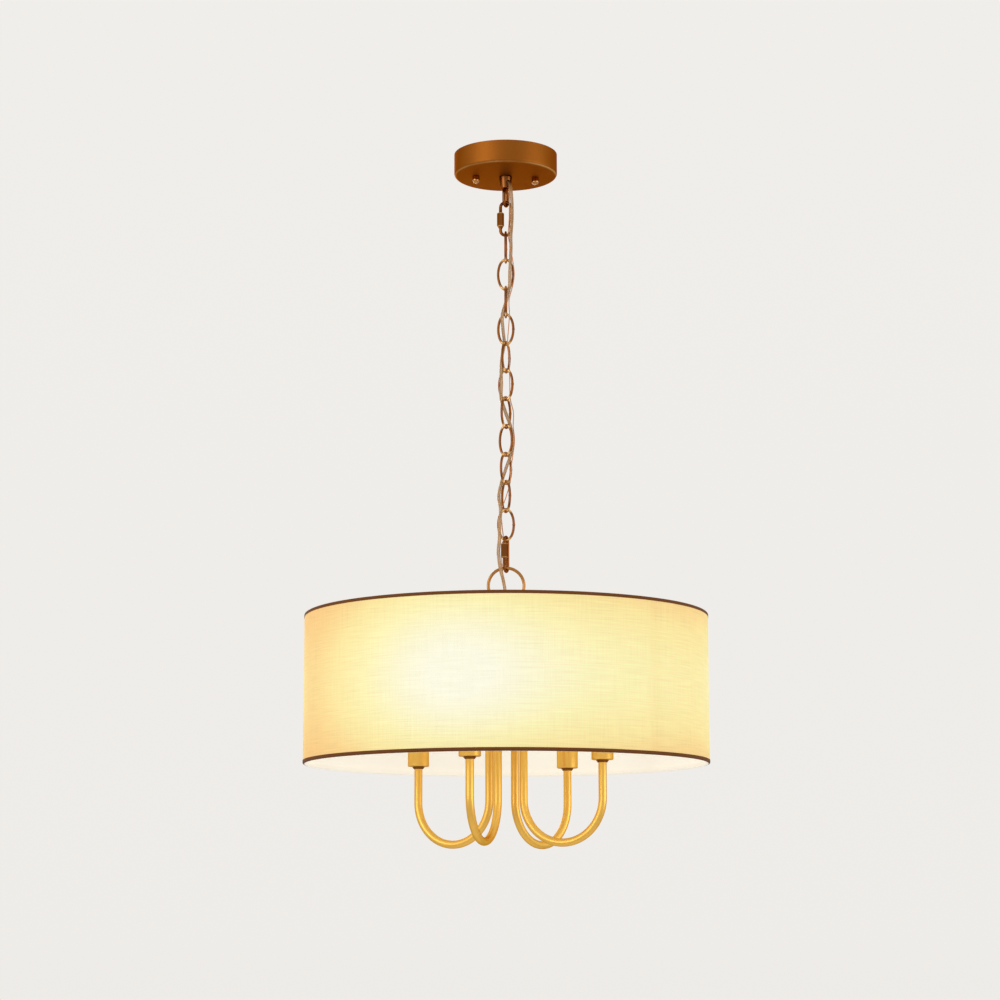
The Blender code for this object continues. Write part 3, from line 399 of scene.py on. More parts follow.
# The cap nuts' darker polished brass is painted shade under the canopy.
bright_brass = sprayed_metal("bright_brass", (0.56, 0.27, 0.075), (0.38, 0.16, 0.040), 0.14, 0.00001)
shaded_canopy_brass = sprayed_metal(
    "canopy_shaded_brass", SHADED_CANOPY_LIGHT, SHADED_CANOPY_DEEP, 0.50, 0.00003, BROWN_TINT, canopy_glint, CANOPY_PATCHES
)
cap_metal = sprayed_metal("bulb_cap_nickel", (0.74, 0.72, 0.68), (0.60, 0.58, 0.54), 0.22, 0.00001)
zinc = plated_steel()
green_paint = painted("green_screw_paint", (0.06, 0.34, 0.14), (0.04, 0.24, 0.10), 0.42)
white_paint = painted("white_wire_enamel", (0.84, 0.82, 0.76), (0.76, 0.74, 0.68), 0.45)
holder_white = painted("lampholder_shell", (0.86, 0.85, 0.81), (0.80, 0.79, 0.75), 0.5)
print("metals and paints ready")

# %% [markdown]
# ## The cord
# A clear flat flex runs from the canopy to the lamp, woven through the links, with a bare copper earth
# wire beside it. A chain bends at every link, so each cord is made in stretches, from the middle of one
# link to the middle of the next, and each stretch crosses the joint between them. The route is a given
# list, the same as the solid's, and a smooth curve goes through its points.

# %% Routes of the cord and the earth wire
ROUTE_UNITS = 10000  # to a metre: the routes' points are in tenths of a millimetre, from the canopy down
CORD_ROUTE = (
    (7, 4, -30), (7, 4, -140), (7, 4, -250), (10, -1, -305), (20, -19, -344), (44, -61, -393),
    (60, -87, -435), (69, -96, -500), (78, -85, -600), (82, -70, -700), (82, -56, -840), (74, -54, -980),
    (66, -56, -1080), (68, -42, -1220), (62, -50, -1370), (52, -52, -1570), (48, -49, -1730),
    (4, -6, -1932), (-44, -36, -2110), (-36, 4, -2290), (-20, 49, -2460), (-50, 26, -2647),
    (-60, -10, -2826), (-56, -26, -3005), (-58, -16, -3184), (-4, 2, -3362), (58, 12, -3541),
    (80, 22, -3720), (60, 8, -3899), (0, 2, -4077), (-56, 3, -4256), (-90, -5, -4435), (-68, -44, -4614),
    (-80, -56, -4792), (-82, -52, -4971), (-96, -46, -5140), (-80, -52, -5300), (-66, -52, -5380),
    (-40, -40, -5480), (-20, -24, -5580), (-6, -14, -5680), (0, -9, -5760), (0, -9, -5900),
    (0, -9, -6060), (0, -9, -6270),
)
EARTH_ROUTE = (
    (-19, -11, -30), (-19, -11, -140), (-19, -11, -250), (-16, -16, -305), (-6, -34, -344),
    (18, -76, -393), (34, -96, -435), (44, -102, -500), (49, -92, -600), (46, -74, -720), (44, -60, -860),
    (36, -64, -990), (32, -72, -1080), (56, -84, -1217), (86, -74, -1390), (108, -46, -1575),
    (94, -48, -1700), (76, -66, -1780), (42, -84, -1932), (46, -54, -2110), (34, -46, -2290),
    (22, -44, -2470), (40, -16, -2647), (46, 12, -2826), (50, 24, -3005), (56, 13, -3184),
    (95, 10, -3362), (92, -4, -3541), (108, -16, -3720), (88, -12, -3899), (64, -22, -4077),
    (52, -4, -4256), (2, 0, -4435), (-56, 20, -4614), (-50, 30, -4792), (-34, 42, -4971),
    (-56, 30, -5160), (-44, 40, -5370), (-40, 26, -5480), (-32, 14, -5580), (-16, 18, -5680),
    (0, 22, -5760), (0, 22, -5900), (0, 22, -6060), (0, 22, -6270),
)
CORD_STEP = 0.002  # between two rings of a cord's tube


def smooth_route(route):
    """Points every CORD_STEP or so along a smooth curve through the route, turned into the chain's frame."""
    turn = Matrix.Rotation(CHAIN_TURN, 4, "Z")
    knots = [turn @ Vector([part / ROUTE_UNITS for part in point]) for point in route]
    knots = [2 * knots[0] - knots[1]] + knots + [2 * knots[-1] - knots[-2]]
    points = []
    for before, start, end, after in zip(knots, knots[1:], knots[2:], knots[3:]):
        spans = [math.sqrt((b - a).length) for a, b in ((before, start), (start, end), (end, after))]
        pull_start = (start - before) / spans[0] - (end - before) / (spans[0] + spans[1])
        pull_start = (pull_start + (end - start) / spans[1]) * spans[1]
        pull_end = (end - start) / spans[1] - (after - start) / (spans[1] + spans[2])
        pull_end = (pull_end + (after - end) / spans[2]) * spans[1]
        count = max(1, round((end - start).length / CORD_STEP))
        for step in range(count):
            t = step / count
            points.append(
                start * (2 * t**3 - 3 * t**2 + 1)
                + end * (3 * t**2 - 2 * t**3)
                + pull_start * (t**3 - 2 * t**2 + t)
                + pull_end * (t**3 - t**2)
            )
    return points + [knots[-2]]


cord_line = smooth_route(CORD_ROUTE)
earth_line = smooth_route(EARTH_ROUTE)
print("cord rings", len(cord_line), "earth wire rings", len(earth_line))

# %% [markdown]
# ### The flex and its clear jacket
# Two round cores lie side by side in clear plastic, joined by a thin web, so the section is a figure
# eight. The jacket is see-through by its alpha, and each core is real copper inside it. The flat side
# turns slowly as the flex goes down, as it does when it is threaded by hand.

# %% Sections and tubes
FLEX_LOBE = 0.00115  # radius of one side of the flat flex
FLEX_CORE = 0.00055
WEB_ANGLE = math.radians(27)
EARTH_RADIUS = 0.0006
TWIST_LENGTH = 0.055
TWIST_SWING = 0.6


def flex_section(steps=10):
    """Points of the figure eight, anticlockwise, as (across the flat, through the flat)."""
    points = []
    for side, start in ((1, -math.pi + WEB_ANGLE), (-1, WEB_ANGLE)):
        sweep = 2 * math.pi - 2 * WEB_ANGLE
        for step in range(steps + 1):
            turn = start + sweep * step / steps
            points.append((side * FLEX_LOBE + FLEX_LOBE * math.cos(turn), FLEX_LOBE * math.sin(turn)))
    return points


def round_section(size, across=0.0, steps=10):
    turns = [2 * math.pi * step / steps for step in range(steps)]
    return [(across + size * math.cos(turn), size * math.sin(turn)) for turn in turns]


def ring_frames(line):
    """For each point of a line, the two directions that its section lies in."""
    frames, travelled = [], 0.0
    for number, point in enumerate(line):
        before, after = line[max(number - 1, 0)], line[min(number + 1, len(line) - 1)]
        along = (after - before).normalized()
        travelled += (point - before).length
        swing = CHAIN_TURN + TWIST_SWING * math.sin(travelled / TWIST_LENGTH)
        flat = Vector((math.cos(swing), math.sin(swing), 0))
        flat = (flat - along * flat.dot(along)).normalized()
        frames.append((flat, along.cross(flat)))
    return frames


def tube_mesh(mesh, line, frames, section, slot):
    """Adds a closed tube of that section along the line."""
    rings = []
    for point, (flat, deep) in zip(line, frames):
        rings.append([mesh.verts.new(point + flat * x + deep * y) for x, y in section])
    faces = []
    for upper, lower in zip(rings, rings[1:]):
        for number in range(len(section)):
            after = (number + 1) % len(section)
            faces.append(mesh.faces.new((upper[number], upper[after], lower[after], lower[number])))
    for face in faces:
        face.smooth = True
    faces += [mesh.faces.new(rings[0][::-1]), mesh.faces.new(rings[-1])]
    for face in faces:
        face.material_index = slot


def stretch_of(name, line, frames, sections, finishes):
    """A piece of cord: a tube for each (finish number, section) pair."""
    data = bpy.data.meshes.new(name)
    mesh = bmesh.new()
    for slot, section in sections:
        tube_mesh(mesh, line, frames, section, slot)
    bmesh.ops.recalc_face_normals(mesh, faces=mesh.faces)
    mesh.to_mesh(data)
    mesh.free()
    data.set_sharp_from_angle(angle=math.radians(60))
    piece = bpy.data.objects.new(name, data)
    bpy.context.scene.collection.objects.link(piece)
    for finish in finishes:
        data.materials.append(finish)
    return piece


def clear_plastic():
    """Clear flexible plastic, faintly yellow, which the light passes with a soft shine."""
    finish = Finish("clear_plastic", {"IOR": 1.49, "Coat Weight": 0.6, "Coat Roughness": 0.08})
    haze = finish.noise(160, 3)
    finish.set("Base Color", finish.mix(haze, (0.42, 0.22, 0.07), (0.62, 0.39, 0.16)))
    finish.set("Roughness", 0.16 + haze * 0.12)
    finish.set("Alpha", 0.50 + haze * 0.16)
    return finish.material


def copper_wire():
    """Fine copper strands laid together, so the surface is ribbed across."""
    finish = Finish("copper_strands", {"Metallic": 1.0})
    strands = finish.noise(1400, 2, (1, 1, 0.12))
    finish.set("Base Color", finish.mix(strands, (0.30, 0.12, 0.045), (0.62, 0.28, 0.12)))
    finish.set("Roughness", 0.28 + strands * 0.16)
    finish.raise_by(strands, 0.0001, 0.5)
    return finish.material


clear_jacket = clear_plastic()
copper = copper_wire()

# %% [markdown]
# ### From link to link
# Each stretch starts and ends at the middle of a link, where the next stretch takes over with the same
# ring.

# %% Lay both cords in stretches
CHAIN_BODIES = (
    ["ceiling_canopy", "upper_quick_link"]
    + [f"chain_link_{number:02d}" for number in range(1, len(LINK_TURNS) + 1)]
    + ["lower_quick_link", "lamp"]
)


def lay_cord(label, node, line, sections, finishes):
    """One cord as a row of stretches, whose lengths are added up."""
    frames = ring_frames(line)
    cuts = [0]
    for body in CHAIN_BODIES[1:-1]:
        height = middle(body).z
        cuts.append(min(range(len(line)), key=lambda number: abs(line[number].z - height)))
    cuts.append(len(line) - 1)
    total = 0.0
    for number, (start, end) in enumerate(zip(cuts, cuts[1:]), 1):
        points, rings = line[start : end + 1], frames[start : end + 1]
        piece = stretch_of(f"{label}_{number:02d}", points, rings, sections, finishes)
        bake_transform(piece)
        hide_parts(node)
        length = sum((b - a).length for a, b in zip(points, points[1:]))
        total += length
    print(label, "stretches", len(cuts) - 1, "length", round(total, 4))


flex_parts = [(0, flex_section())]
flex_parts += [(1, round_section(FLEX_CORE, across)) for across in (FLEX_LOBE, -FLEX_LOBE)]
wire_parts = [(0, round_section(EARTH_RADIUS))]
lay_cord("flex", "power_cord", cord_line, flex_parts, [clear_jacket, copper])
lay_cord("earth", "earth_wire", earth_line, wire_parts, [copper])

# %% [markdown]
# ## Tools for turned and bent metal
# Two helpers make nearly everything here. A turned piece is drawn as a profile, point by point, and spun
# round its axis, as on a lathe. A bent piece is an outline in edit mode, given a round section as a
# curve and made a mesh again. Both end at the origin with their place in the mesh.

# %% Selecting, finishing and copying
WELD = 0.00001
SMOOTH_ANGLE = math.radians(32)


def take(*pieces):
    """Selects these pieces and makes the first the active one."""
    bpy.ops.object.select_all(action="DESELECT")
    for piece in pieces:
        piece.select_set(True)
    bpy.context.view_layer.objects.active = pieces[0]
    return pieces[0]


def edit(piece):
    take(piece)
    bpy.ops.object.mode_set(mode="EDIT")


def done():
    bpy.ops.object.mode_set(mode="OBJECT")


def select_vertices(test):
    """In edit mode, selects the vertices whose place in the world passes the test."""
    piece = bpy.context.object
    mesh = bmesh.from_edit_mesh(piece.data)
    bpy.ops.mesh.select_mode(type="VERT")
    for vertex in mesh.verts:
        vertex.select_set(bool(test(piece.matrix_world @ vertex.co)))
    mesh.select_flush_mode()
    bmesh.update_edit_mesh(piece.data)


def close_up(piece):
    """Merges doubled points and turns every face outwards."""
    edit(piece)
    bpy.ops.mesh.select_all(action="SELECT")
    bpy.ops.mesh.remove_doubles(threshold=WELD)
    bpy.ops.mesh.normals_make_consistent(inside=False)
    done()


def finished(piece, name, finish, angle=SMOOTH_ANGLE):
    """Names a piece, puts its place in its mesh and gives it its finish."""
    take(piece)
    bpy.ops.object.transform_apply(location=True, rotation=True, scale=True)
    bpy.ops.object.shade_smooth_by_angle(angle=angle)
    piece.name = piece.data.name = name
    piece.data.materials.clear()
    piece.data.materials.append(finish)
    return piece


def fit(piece, body, slot, *nodes):
    """Fixes a finished piece to its body, in place of the nodes named."""
    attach(piece, body)
    if nodes:
        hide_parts(*nodes)
    return piece


def copied(piece, name, matrix):
    """A copy with a mesh of its own, moved by the matrix."""
    copy = piece.copy()
    copy.data = piece.data.copy()
    copy.data.transform(matrix)
    copy.name = copy.data.name = name
    bpy.context.scene.collection.objects.link(copy)
    return copy


def arc(across, height, size, start, end, steps):
    """Points along an arc, both ends included; angles in degrees from outwards."""
    turns = [math.radians(start + (end - start) * step / steps) for step in range(steps + 1)]
    return [(across + size * math.cos(turn), height + size * math.sin(turn)) for turn in turns]


# %% Turning a profile and bending a wire


def lathe(profile, sides=96, at=(0, 0, 0)):
    """Spins a profile of (radius, height) points about the upright line through a place."""
    (start, height), *rest = profile
    bpy.ops.object.select_all(action="DESELECT")
    bpy.ops.mesh.primitive_plane_add(size=WELD, location=(at[0] + start, at[1], at[2] + height))
    piece = bpy.context.object
    bpy.ops.object.transform_apply(location=True)
    bpy.ops.object.mode_set(mode="EDIT")
    bpy.ops.mesh.select_all(action="SELECT")
    bpy.ops.mesh.merge(type="CENTER")
    for across, along in rest:
        step = (across - start, 0, along - height)
        bpy.ops.mesh.extrude_vertices_move(TRANSFORM_OT_translate={"value": step})
        start, height = across, along
    bpy.ops.mesh.select_all(action="SELECT")
    bpy.ops.mesh.spin(steps=sides, angle=2 * math.pi, center=at, axis=(0, 0, 1))
    done()
    close_up(piece)
    return piece


def outline_circle(size, centre, turn, vertices=64, offset=0.0):
    """A circle of loose edges that stands upright in the plane at that turn."""
    bpy.ops.object.select_all(action="DESELECT")
    bpy.ops.mesh.primitive_circle_add(vertices=vertices, radius=size, location=(0, 0, 0))
    piece = bpy.context.object
    piece.data.transform(Matrix.Rotation(offset, 4, "Z"))
    piece.data.transform(Matrix.Rotation(math.pi / 2, 4, "X"))
    piece.data.transform(Matrix.Translation(centre))
    piece["turn"] = turn
    return piece


def extend_end(test, shift):
    """Extrudes the end of an outline that passes the test."""
    select_vertices(test)
    bpy.ops.mesh.extrude_vertices_move(TRANSFORM_OT_translate={"value": shift})


def bent_wire(outline, thickness, rounding=5):
    """Gives an outline a round section, and turns it into place about the chain's axis."""
    turn = outline["turn"]
    take(outline)
    bpy.ops.object.convert(target="CURVE")
    curve = bpy.context.object
    curve.data.bevel_depth = thickness / 2
    curve.data.bevel_resolution = rounding
    curve.data.use_fill_caps = True
    bpy.ops.object.convert(target="MESH")
    piece = bpy.context.object
    close_up(piece)
    piece.data.transform(Matrix.Rotation(turn, 4, "Z"))
    return piece


def boolean(piece, other, operation):
    """Joins, cuts or crosses two closed meshes, and removes the second."""
    take(piece)
    step = piece.modifiers.new(operation.lower(), "BOOLEAN")
    step.operation = operation
    step.object = other
    bpy.ops.object.modifier_apply(modifier=step.name)
    bpy.data.objects.remove(other, do_unlink=True)
    return piece


def rod(size, low, high, at=(0, 0), sides=48, turn=0.0):
    """A plain upright bar, round or with few sides, to cut with or to be cut."""
    bpy.ops.object.select_all(action="DESELECT")
    place = (at[0], at[1], (low + high) / 2)
    bpy.ops.mesh.primitive_cylinder_add(vertices=sides, radius=size, depth=high - low, location=place)
    bar = bpy.context.object
    bar.data.transform(Matrix.Rotation(turn, 4, "Z"))
    bpy.ops.object.transform_apply(location=True)
    return bar


def joined(piece, *others):
    """Several closed meshes as one object."""
    take(piece, *others)
    bpy.ops.object.join()
    return bpy.context.object


def torus(size, thickness, height, segments, rounding, turn=(0, 0, 0)):
    """A ring of round wire; size is the radius of the wire's middle."""
    bpy.ops.object.select_all(action="DESELECT")
    bpy.ops.mesh.primitive_torus_add(
        major_radius=size,
        minor_radius=thickness / 2,
        major_segments=segments,
        minor_segments=rounding,
        location=(0, 0, height),
        rotation=turn,
    )
    return bpy.context.object


def hexagonal(across, low, high, bore, at, turn, chamfer):
    """A six-sided sleeve: a hexagonal bar, its corners turned off, and a bore through it."""
    corner = across / math.sqrt(3)
    bar = rod(corner, low, high, at, 6, turn + math.pi / 2)
    ease = across / 2 * 0.96  # just inside the flats, so that the chamfer cuts into them
    outside = corner + chamfer
    slope = 1.6 * chamfer
    crown = [(0, high), (ease, high), (outside, high - slope - GAP)]
    crown += [(outside, low + slope + GAP), (ease, low), (0, low)]
    boolean(bar, lathe(crown, 72, (at[0], at[1], 0)), "INTERSECT")
    return boolean(bar, rod(bore, low - GAP, high + GAP, at), "DIFFERENCE")


def threaded(size, depth, pitch, high, low, bore=None):
    """Profile of a screwed rod or tube: a ridge for each turn of the thread."""
    count = round((high - low) / pitch)
    points = [(size - depth, high)]
    for number in range(count):
        crest = high - (high - low) * (number + 0.5) / count
        valley = high - (high - low) * (number + 1) / count
        points += [(size, crest), (size - depth, valley)]
    if bore is None:
        return [(0, high)] + points + [(0, low)]
    return points + [(bore, low), (bore, high), (size - depth, high)]


print("turning and bending helpers ready")

# %% [markdown]
# ## The canopy
# A shallow spun cup hides the ceiling box. Its lower edge is rolled to a soft radius, which is where the
# light catches it, so the arc has many more steps than the solid's. Two domed nuts hold it up.

# %% Canopy and cap nuts
CANOPY_EDGE, CANOPY_WALL = 0.0045, 0.0012
CAP_EASE = 0.0004


def canopy_profile():
    rim, low = radius("canopy"), foot("canopy")
    hole = radius("canopy_nipple") + GAP
    outer = arc(rim - CANOPY_EDGE, low + CANOPY_EDGE, CANOPY_EDGE, 0, -90, 10)
    inner = arc(rim - CANOPY_EDGE, low + CANOPY_EDGE, CANOPY_EDGE - CANOPY_WALL, -90, 0, 10)
    centre = [(hole, low), (hole, low + CANOPY_WALL)]
    return [(rim, 0)] + outer + centre + inner + [(rim - CANOPY_WALL, 0), (rim, 0)]


def canopy_shell():
    shell = lathe(canopy_profile(), 160)
    low = foot("canopy")
    for screw in ("canopy_screw_1", "canopy_screw_2"):
        hole = rod(radius(screw) + GAP, low - GAP, low + 2 * CANOPY_WALL, middle(screw).xy)
        boolean(shell, hole, "DIFFERENCE")
    return finished(shell, "canopy_shell", shaded_canopy_brass)


fit(canopy_shell(), "ceiling_canopy", "satin_brass", "canopy")


def cap_nut(node):
    """A round nut, closed below by a dome."""
    low, high, size = span(node)
    profile = [(0, high), (size - CAP_EASE, high), (size, high - CAP_EASE)]
    profile += arc(0, low + size, size, 0, -90, 14)
    piece = lathe(profile, 48, (*middle(node).xy, 0))
    return finished(piece, f"{node}_dome", bright_brass)


for node in ("cap_nut_1", "cap_nut_2"):
    fit(cap_nut(node), "ceiling_canopy", "satin_brass", node)
print("canopy radius", round(radius("canopy"), 4))

# %% [markdown]
# ### The screws behind it
# Seen from above, the canopy is open, with a strap, two long screws, a green earth screw and a hollow
# threaded nipple. The strap and nuts keep their own solids with a plated finish. Screws and nipple get
# a thread, as a ridge for each turn: at this size nobody can tell it from a true helix.

# %% Threads behind the canopy
SCREW_PITCH, TUBE_PITCH, THREAD_DEPTH = 0.0007, 0.0010, 0.0003
TUBE_BORE = 0.0037


def threaded_piece(node, pitch, bore=None):
    profile = threaded(radius(node), THREAD_DEPTH, pitch, top(node), foot(node), bore)
    piece = lathe(profile, 40, (*middle(node).xy, 0))
    return finished(piece, f"{node}_thread", zinc, math.radians(20))


for node in ("canopy_screw_1", "canopy_screw_2"):
    fit(threaded_piece(node, SCREW_PITCH), "ceiling_canopy", "zinc_steel", node)
for node, body in (("canopy_nipple", "ceiling_canopy"), ("stem", "lamp")):
    fit(threaded_piece(node, TUBE_PITCH, TUBE_BORE), body, "zinc_steel", node)

plated_nodes = ("crossbar", "screw_nut_1", "screw_nut_2", "nipple_nut", "spider_nut", "hub_nut")
for node, finish in (*((node, zinc) for node in plated_nodes), ("ground_screw", green_paint)):
    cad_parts[node].data.materials.clear()
    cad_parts[node].data.materials.append(finish)

# %% [markdown]
# ## The loop and the big ring
# The loop is a tapered collar with an eye brazed into its foot, and the cord leaves the collar by a
# slanted hole. The ring below is the same idea turned over. Each is a union of a turned collar and a
# bent wire, and the cord's holes are cut after that.

# %% Canopy loop
EYE_LENGTH, EYE_WIDTH, EYE_WIRE = 0.0263, 0.0170, 0.0042
COLLAR_TOP_RADIUS, COLLAR_FOOT_RADIUS, COLLAR_HEIGHT = 0.00825, 0.00625, 0.0152
CORD_HOLE_DROP, CORD_HOLE_RADIUS = 0.0101, 0.0030
CORD_HOLE_ENDS = (-0.008, 0.016)  # how far the drill reaches, from the collar's side
CORD_HOLE_TURN, CORD_HOLE_LEAN = math.radians(-60), math.radians(45)
EASE = 0.0006  # the small round on a turned edge


def stadium_outline(length, width, thickness, height, turn):
    """A loop with straight sides: a circle whose upper half is lifted."""
    size = (width - thickness) / 2
    lift = length - width
    steps = 48
    piece = outline_circle(size, (0, 0, height - lift / 2), turn, steps, math.pi / steps)
    edit(piece)
    select_vertices(lambda place: place.z > height - lift / 2)
    bpy.ops.transform.translate(value=(0, 0, lift))
    done()
    return piece


def collar_profile(upper, lower, high, low):
    """A tapered collar with both edges eased."""
    return [
        (0, high),
        (upper - EASE, high),
        (upper, high - EASE),
        (lower, low + EASE),
        (lower - EASE, low),
        (0, low),
    ]


def canopy_loop():
    low, high, _ = span("canopy_loop")
    profile = collar_profile(COLLAR_TOP_RADIUS, COLLAR_FOOT_RADIUS, high, high - COLLAR_HEIGHT)
    collar = lathe(profile, 72)
    outline = stadium_outline(EYE_LENGTH, EYE_WIDTH, EYE_WIRE, low + EYE_LENGTH / 2, chain_turn(EYE_TURN))
    boolean(collar, bent_wire(outline, EYE_WIRE), "UNION")
    hole = rod(CORD_HOLE_RADIUS, *CORD_HOLE_ENDS)
    out = Matrix.Rotation(chain_turn(0) + CORD_HOLE_TURN, 4, "Z")
    lean = Matrix.Rotation(math.pi - CORD_HOLE_LEAN, 4, "Y")
    mouth = Matrix.Translation((0, 0, high - CORD_HOLE_DROP))
    hole.data.transform(mouth @ out @ Matrix.Translation((COLLAR_TOP_RADIUS, 0, 0)) @ lean)
    return boolean(collar, hole, "DIFFERENCE")


fit(finished(canopy_loop(), "loop_and_eye", chain_brass), "ceiling_canopy", "satin_brass", "canopy_loop")

# %% Ring and collar above the shade
RING_OUTER, RING_WIRE = 0.0242, 0.0040
RING_COLLAR_HEIGHT, RING_COLLAR_TOP, RING_COLLAR_FOOT = 0.0155, 0.0060, 0.0080
RING_BORE = 0.0035


def top_ring():
    low, high, _ = span("top_ring")
    upright = (math.pi / 2, 0, chain_turn(0))
    ring = torus(RING_OUTER - RING_WIRE / 2, RING_WIRE, high - RING_OUTER, 112, 20, upright)
    bpy.ops.object.transform_apply(location=True, rotation=True)
    profile = collar_profile(RING_COLLAR_TOP, RING_COLLAR_FOOT, low + RING_COLLAR_HEIGHT, low)
    boolean(ring, lathe(profile, 72), "UNION")
    return boolean(ring, rod(RING_BORE, low - GAP, low + RING_COLLAR_HEIGHT + RING_WIRE), "DIFFERENCE")


fit(finished(top_ring(), "ring_and_collar", ring_brass), "lamp", "satin_brass", "top_ring")

# %% [markdown]
# ## Chain and quick links
# A chain link is one round wire bent to an oval and welded shut at the middle of one side, where a small
# bead stays. It starts as a circle, stretched to the oval in edit mode. All eleven are copies.

# %% Chain links
LINK_WIDTH, LINK_WIRE = 0.0225, 0.0032
BEAD_SWELL, BEAD_EASE, BEAD_HALF = 0.00022, 0.0005, 0.0008


def first_link():
    """A link about the origin, in the XZ plane."""
    reach, rise = (LINK_WIDTH - LINK_WIRE) / 2, (tall("chain_link_01") - LINK_WIRE) / 2
    outline = outline_circle(reach, (0, 0, 0), 0.0, 72)
    edit(outline)
    bpy.ops.mesh.select_all(action="SELECT")
    bpy.ops.transform.resize(value=(1, 1, rise / reach))
    done()
    link = bent_wire(outline, LINK_WIRE)
    size = LINK_WIRE / 2 + BEAD_SWELL - BEAD_EASE
    bead = [(0, 2 * BEAD_HALF)] + arc(size, BEAD_HALF, BEAD_EASE, 80, 0, 4)
    bead += arc(size, -BEAD_HALF, BEAD_EASE, 0, -80, 4) + [(0, -2 * BEAD_HALF)]
    return boolean(link, lathe(bead, 24, (reach, 0, 0)), "UNION")


link_pattern = first_link()
for number, degrees in enumerate(LINK_TURNS, 1):
    node = f"chain_link_{number:02d}"
    place = Matrix.Translation((0, 0, middle(node).z)) @ Matrix.Rotation(chain_turn(degrees), 4, "Z")
    link = copied(link_pattern, f"{node}_wire", place)
    fit(finished(link, f"{node}_wire", link_brass), node, "satin_brass", node)
bpy.data.objects.remove(link_pattern, do_unlink=True)
print("links", len(LINK_TURNS))

# %% [markdown]
# A quick link is a wire loop with one side open, and a six-sided sleeve screws over the opening. A boss
# stops the sleeve. The wire is drawn as a loop whose left side is deleted and grown back from both ends.
# Boss and thread are closed shells set into the wire: their faces run so close to the wire's own that a
# boolean union leaves holes there.

# %% Quick links and their sleeves
QUICK_WIDTH, QUICK_WIRE = 0.0170, 0.0040
QUICK_MOUTH, MOUTH_COVER = 0.0044, 0.0008
BOSS_RADIUS, BOSS_HEIGHT = 0.0030, 0.0019
SLEEVE_ACROSS = 0.0078
QUICK_THREAD_DEPTH = 0.00025


def quick_link(node, turn, flipped):
    """Made upright about the origin with its sleeve side at -X, then turned, or turned over, into place."""
    half = tall(node) / 2
    side = (QUICK_WIDTH - QUICK_WIRE) / 2
    shift = middle(f"{node}_sleeve").z - middle(node).z
    sleeve_foot = (-shift if flipped else shift) - tall(f"{node}_sleeve") / 2
    mouth = sleeve_foot + MOUTH_COVER
    outline = stadium_outline(2 * half, QUICK_WIDTH, QUICK_WIRE, 0.0, 0.0)
    straight = half - QUICK_WIDTH / 2
    edit(outline)
    low = min(vertex.co.z for vertex in outline.data.vertices if vertex.co.z > 0)

    def on_open_side(place, lowest, highest):
        return place.x < -0.9 * side and lowest < place.z < highest

    select_vertices(lambda place: on_open_side(place, -low - WELD, low + WELD))
    bpy.ops.mesh.delete(type="EDGE")
    extend_end(lambda place: on_open_side(place, 0, low + WELD), (0, 0, mouth + QUICK_MOUTH - low))
    extend_end(lambda place: on_open_side(place, -low - WELD, 0), (0, 0, mouth + low))
    done()
    link = bent_wire(outline, QUICK_WIRE)
    at, size, high = (-side, 0, 0), BOSS_RADIUS, sleeve_foot - GAP
    low = high - BOSS_HEIGHT
    boss = [(0, high), (size - EASE / 2, high), (size, high - EASE / 2)]
    boss += [(size, low + EASE), (size - EASE, low), (0, low)]
    crest = QUICK_WIRE / 2 + GAP / 2
    thread = threaded(crest, QUICK_THREAD_DEPTH, SCREW_PITCH, straight, mouth + QUICK_MOUTH)
    link = joined(link, lathe(boss, 40, at), lathe(thread, 32, at))
    if flipped:
        link.data.transform(Matrix.Rotation(math.pi, 4, "X"))
    link.data.transform(Matrix.Translation((0, 0, middle(node).z)) @ Matrix.Rotation(turn, 4, "Z"))
    return finished(link, f"{node}_wire", chain_brass)


def quick_sleeve(node, turn):
    low, high, _ = span(node)
    sleeve = hexagonal(SLEEVE_ACROSS, low, high, QUICK_WIRE / 2 + GAP, middle(node), turn, EASE)
    return finished(sleeve, f"{node}_hex", sleeve_brass)


for end, degrees, flipped in (("upper", UPPER_QUICK_TURN, False), ("lower", LOWER_QUICK_TURN, True)):
    node = f"{end}_quick_link"
    fit(quick_link(node, chain_turn(degrees), flipped), node, "satin_brass", node)
    sleeve = quick_sleeve(f"{node}_sleeve", chain_turn(degrees))
    fit(sleeve, f"{end}_sleeve", "satin_brass", f"{node}_sleeve")

# %% [markdown]
# ## Arms
# Each arm is one brass tube: down from the hub, round a half circle, and up into its cup. It starts as
# the lower half of a circle, and both ends are extruded upwards, so the tube is round all the way and
# the bend meets the straights without a kink.

# %% The four arms
ARM_IN_HOLDER = 0.010  # how far a tube reaches up into its lampholder


def first_arm():
    """The arm along +X."""
    low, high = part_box("arm_1")
    inner, outer = low.x + ARM_TUBE / 2, high.x - ARM_TUBE / 2
    bend = (outer - inner) / 2
    height = low.z + ARM_TUBE / 2 + bend
    outline = outline_circle(bend, ((outer + inner) / 2, 0, height), 0.0, 96)
    outer_top = foot("lampholder_1") + ARM_IN_HOLDER
    edit(outline)
    select_vertices(lambda place: place.z > height + WELD)
    bpy.ops.mesh.delete(type="VERT")
    extend_end(lambda place: place.x > outer - WELD, (0, 0, outer_top - height))
    extend_end(lambda place: place.x < inner + WELD, (0, 0, high.z - height))
    done()
    return finished(bent_wire(outline, ARM_TUBE, 8), "arm_tube_1", satin_brass)


# %% [markdown]
# ### Cups, washers and lampholders
# A cup is a thin spun sleeve with a floor. It stands on a washer with two steps, which shows as a dark
# line under it; the washer has the chain's darker brass, painted shade under the cup. Inside is a pale
# lampholder.

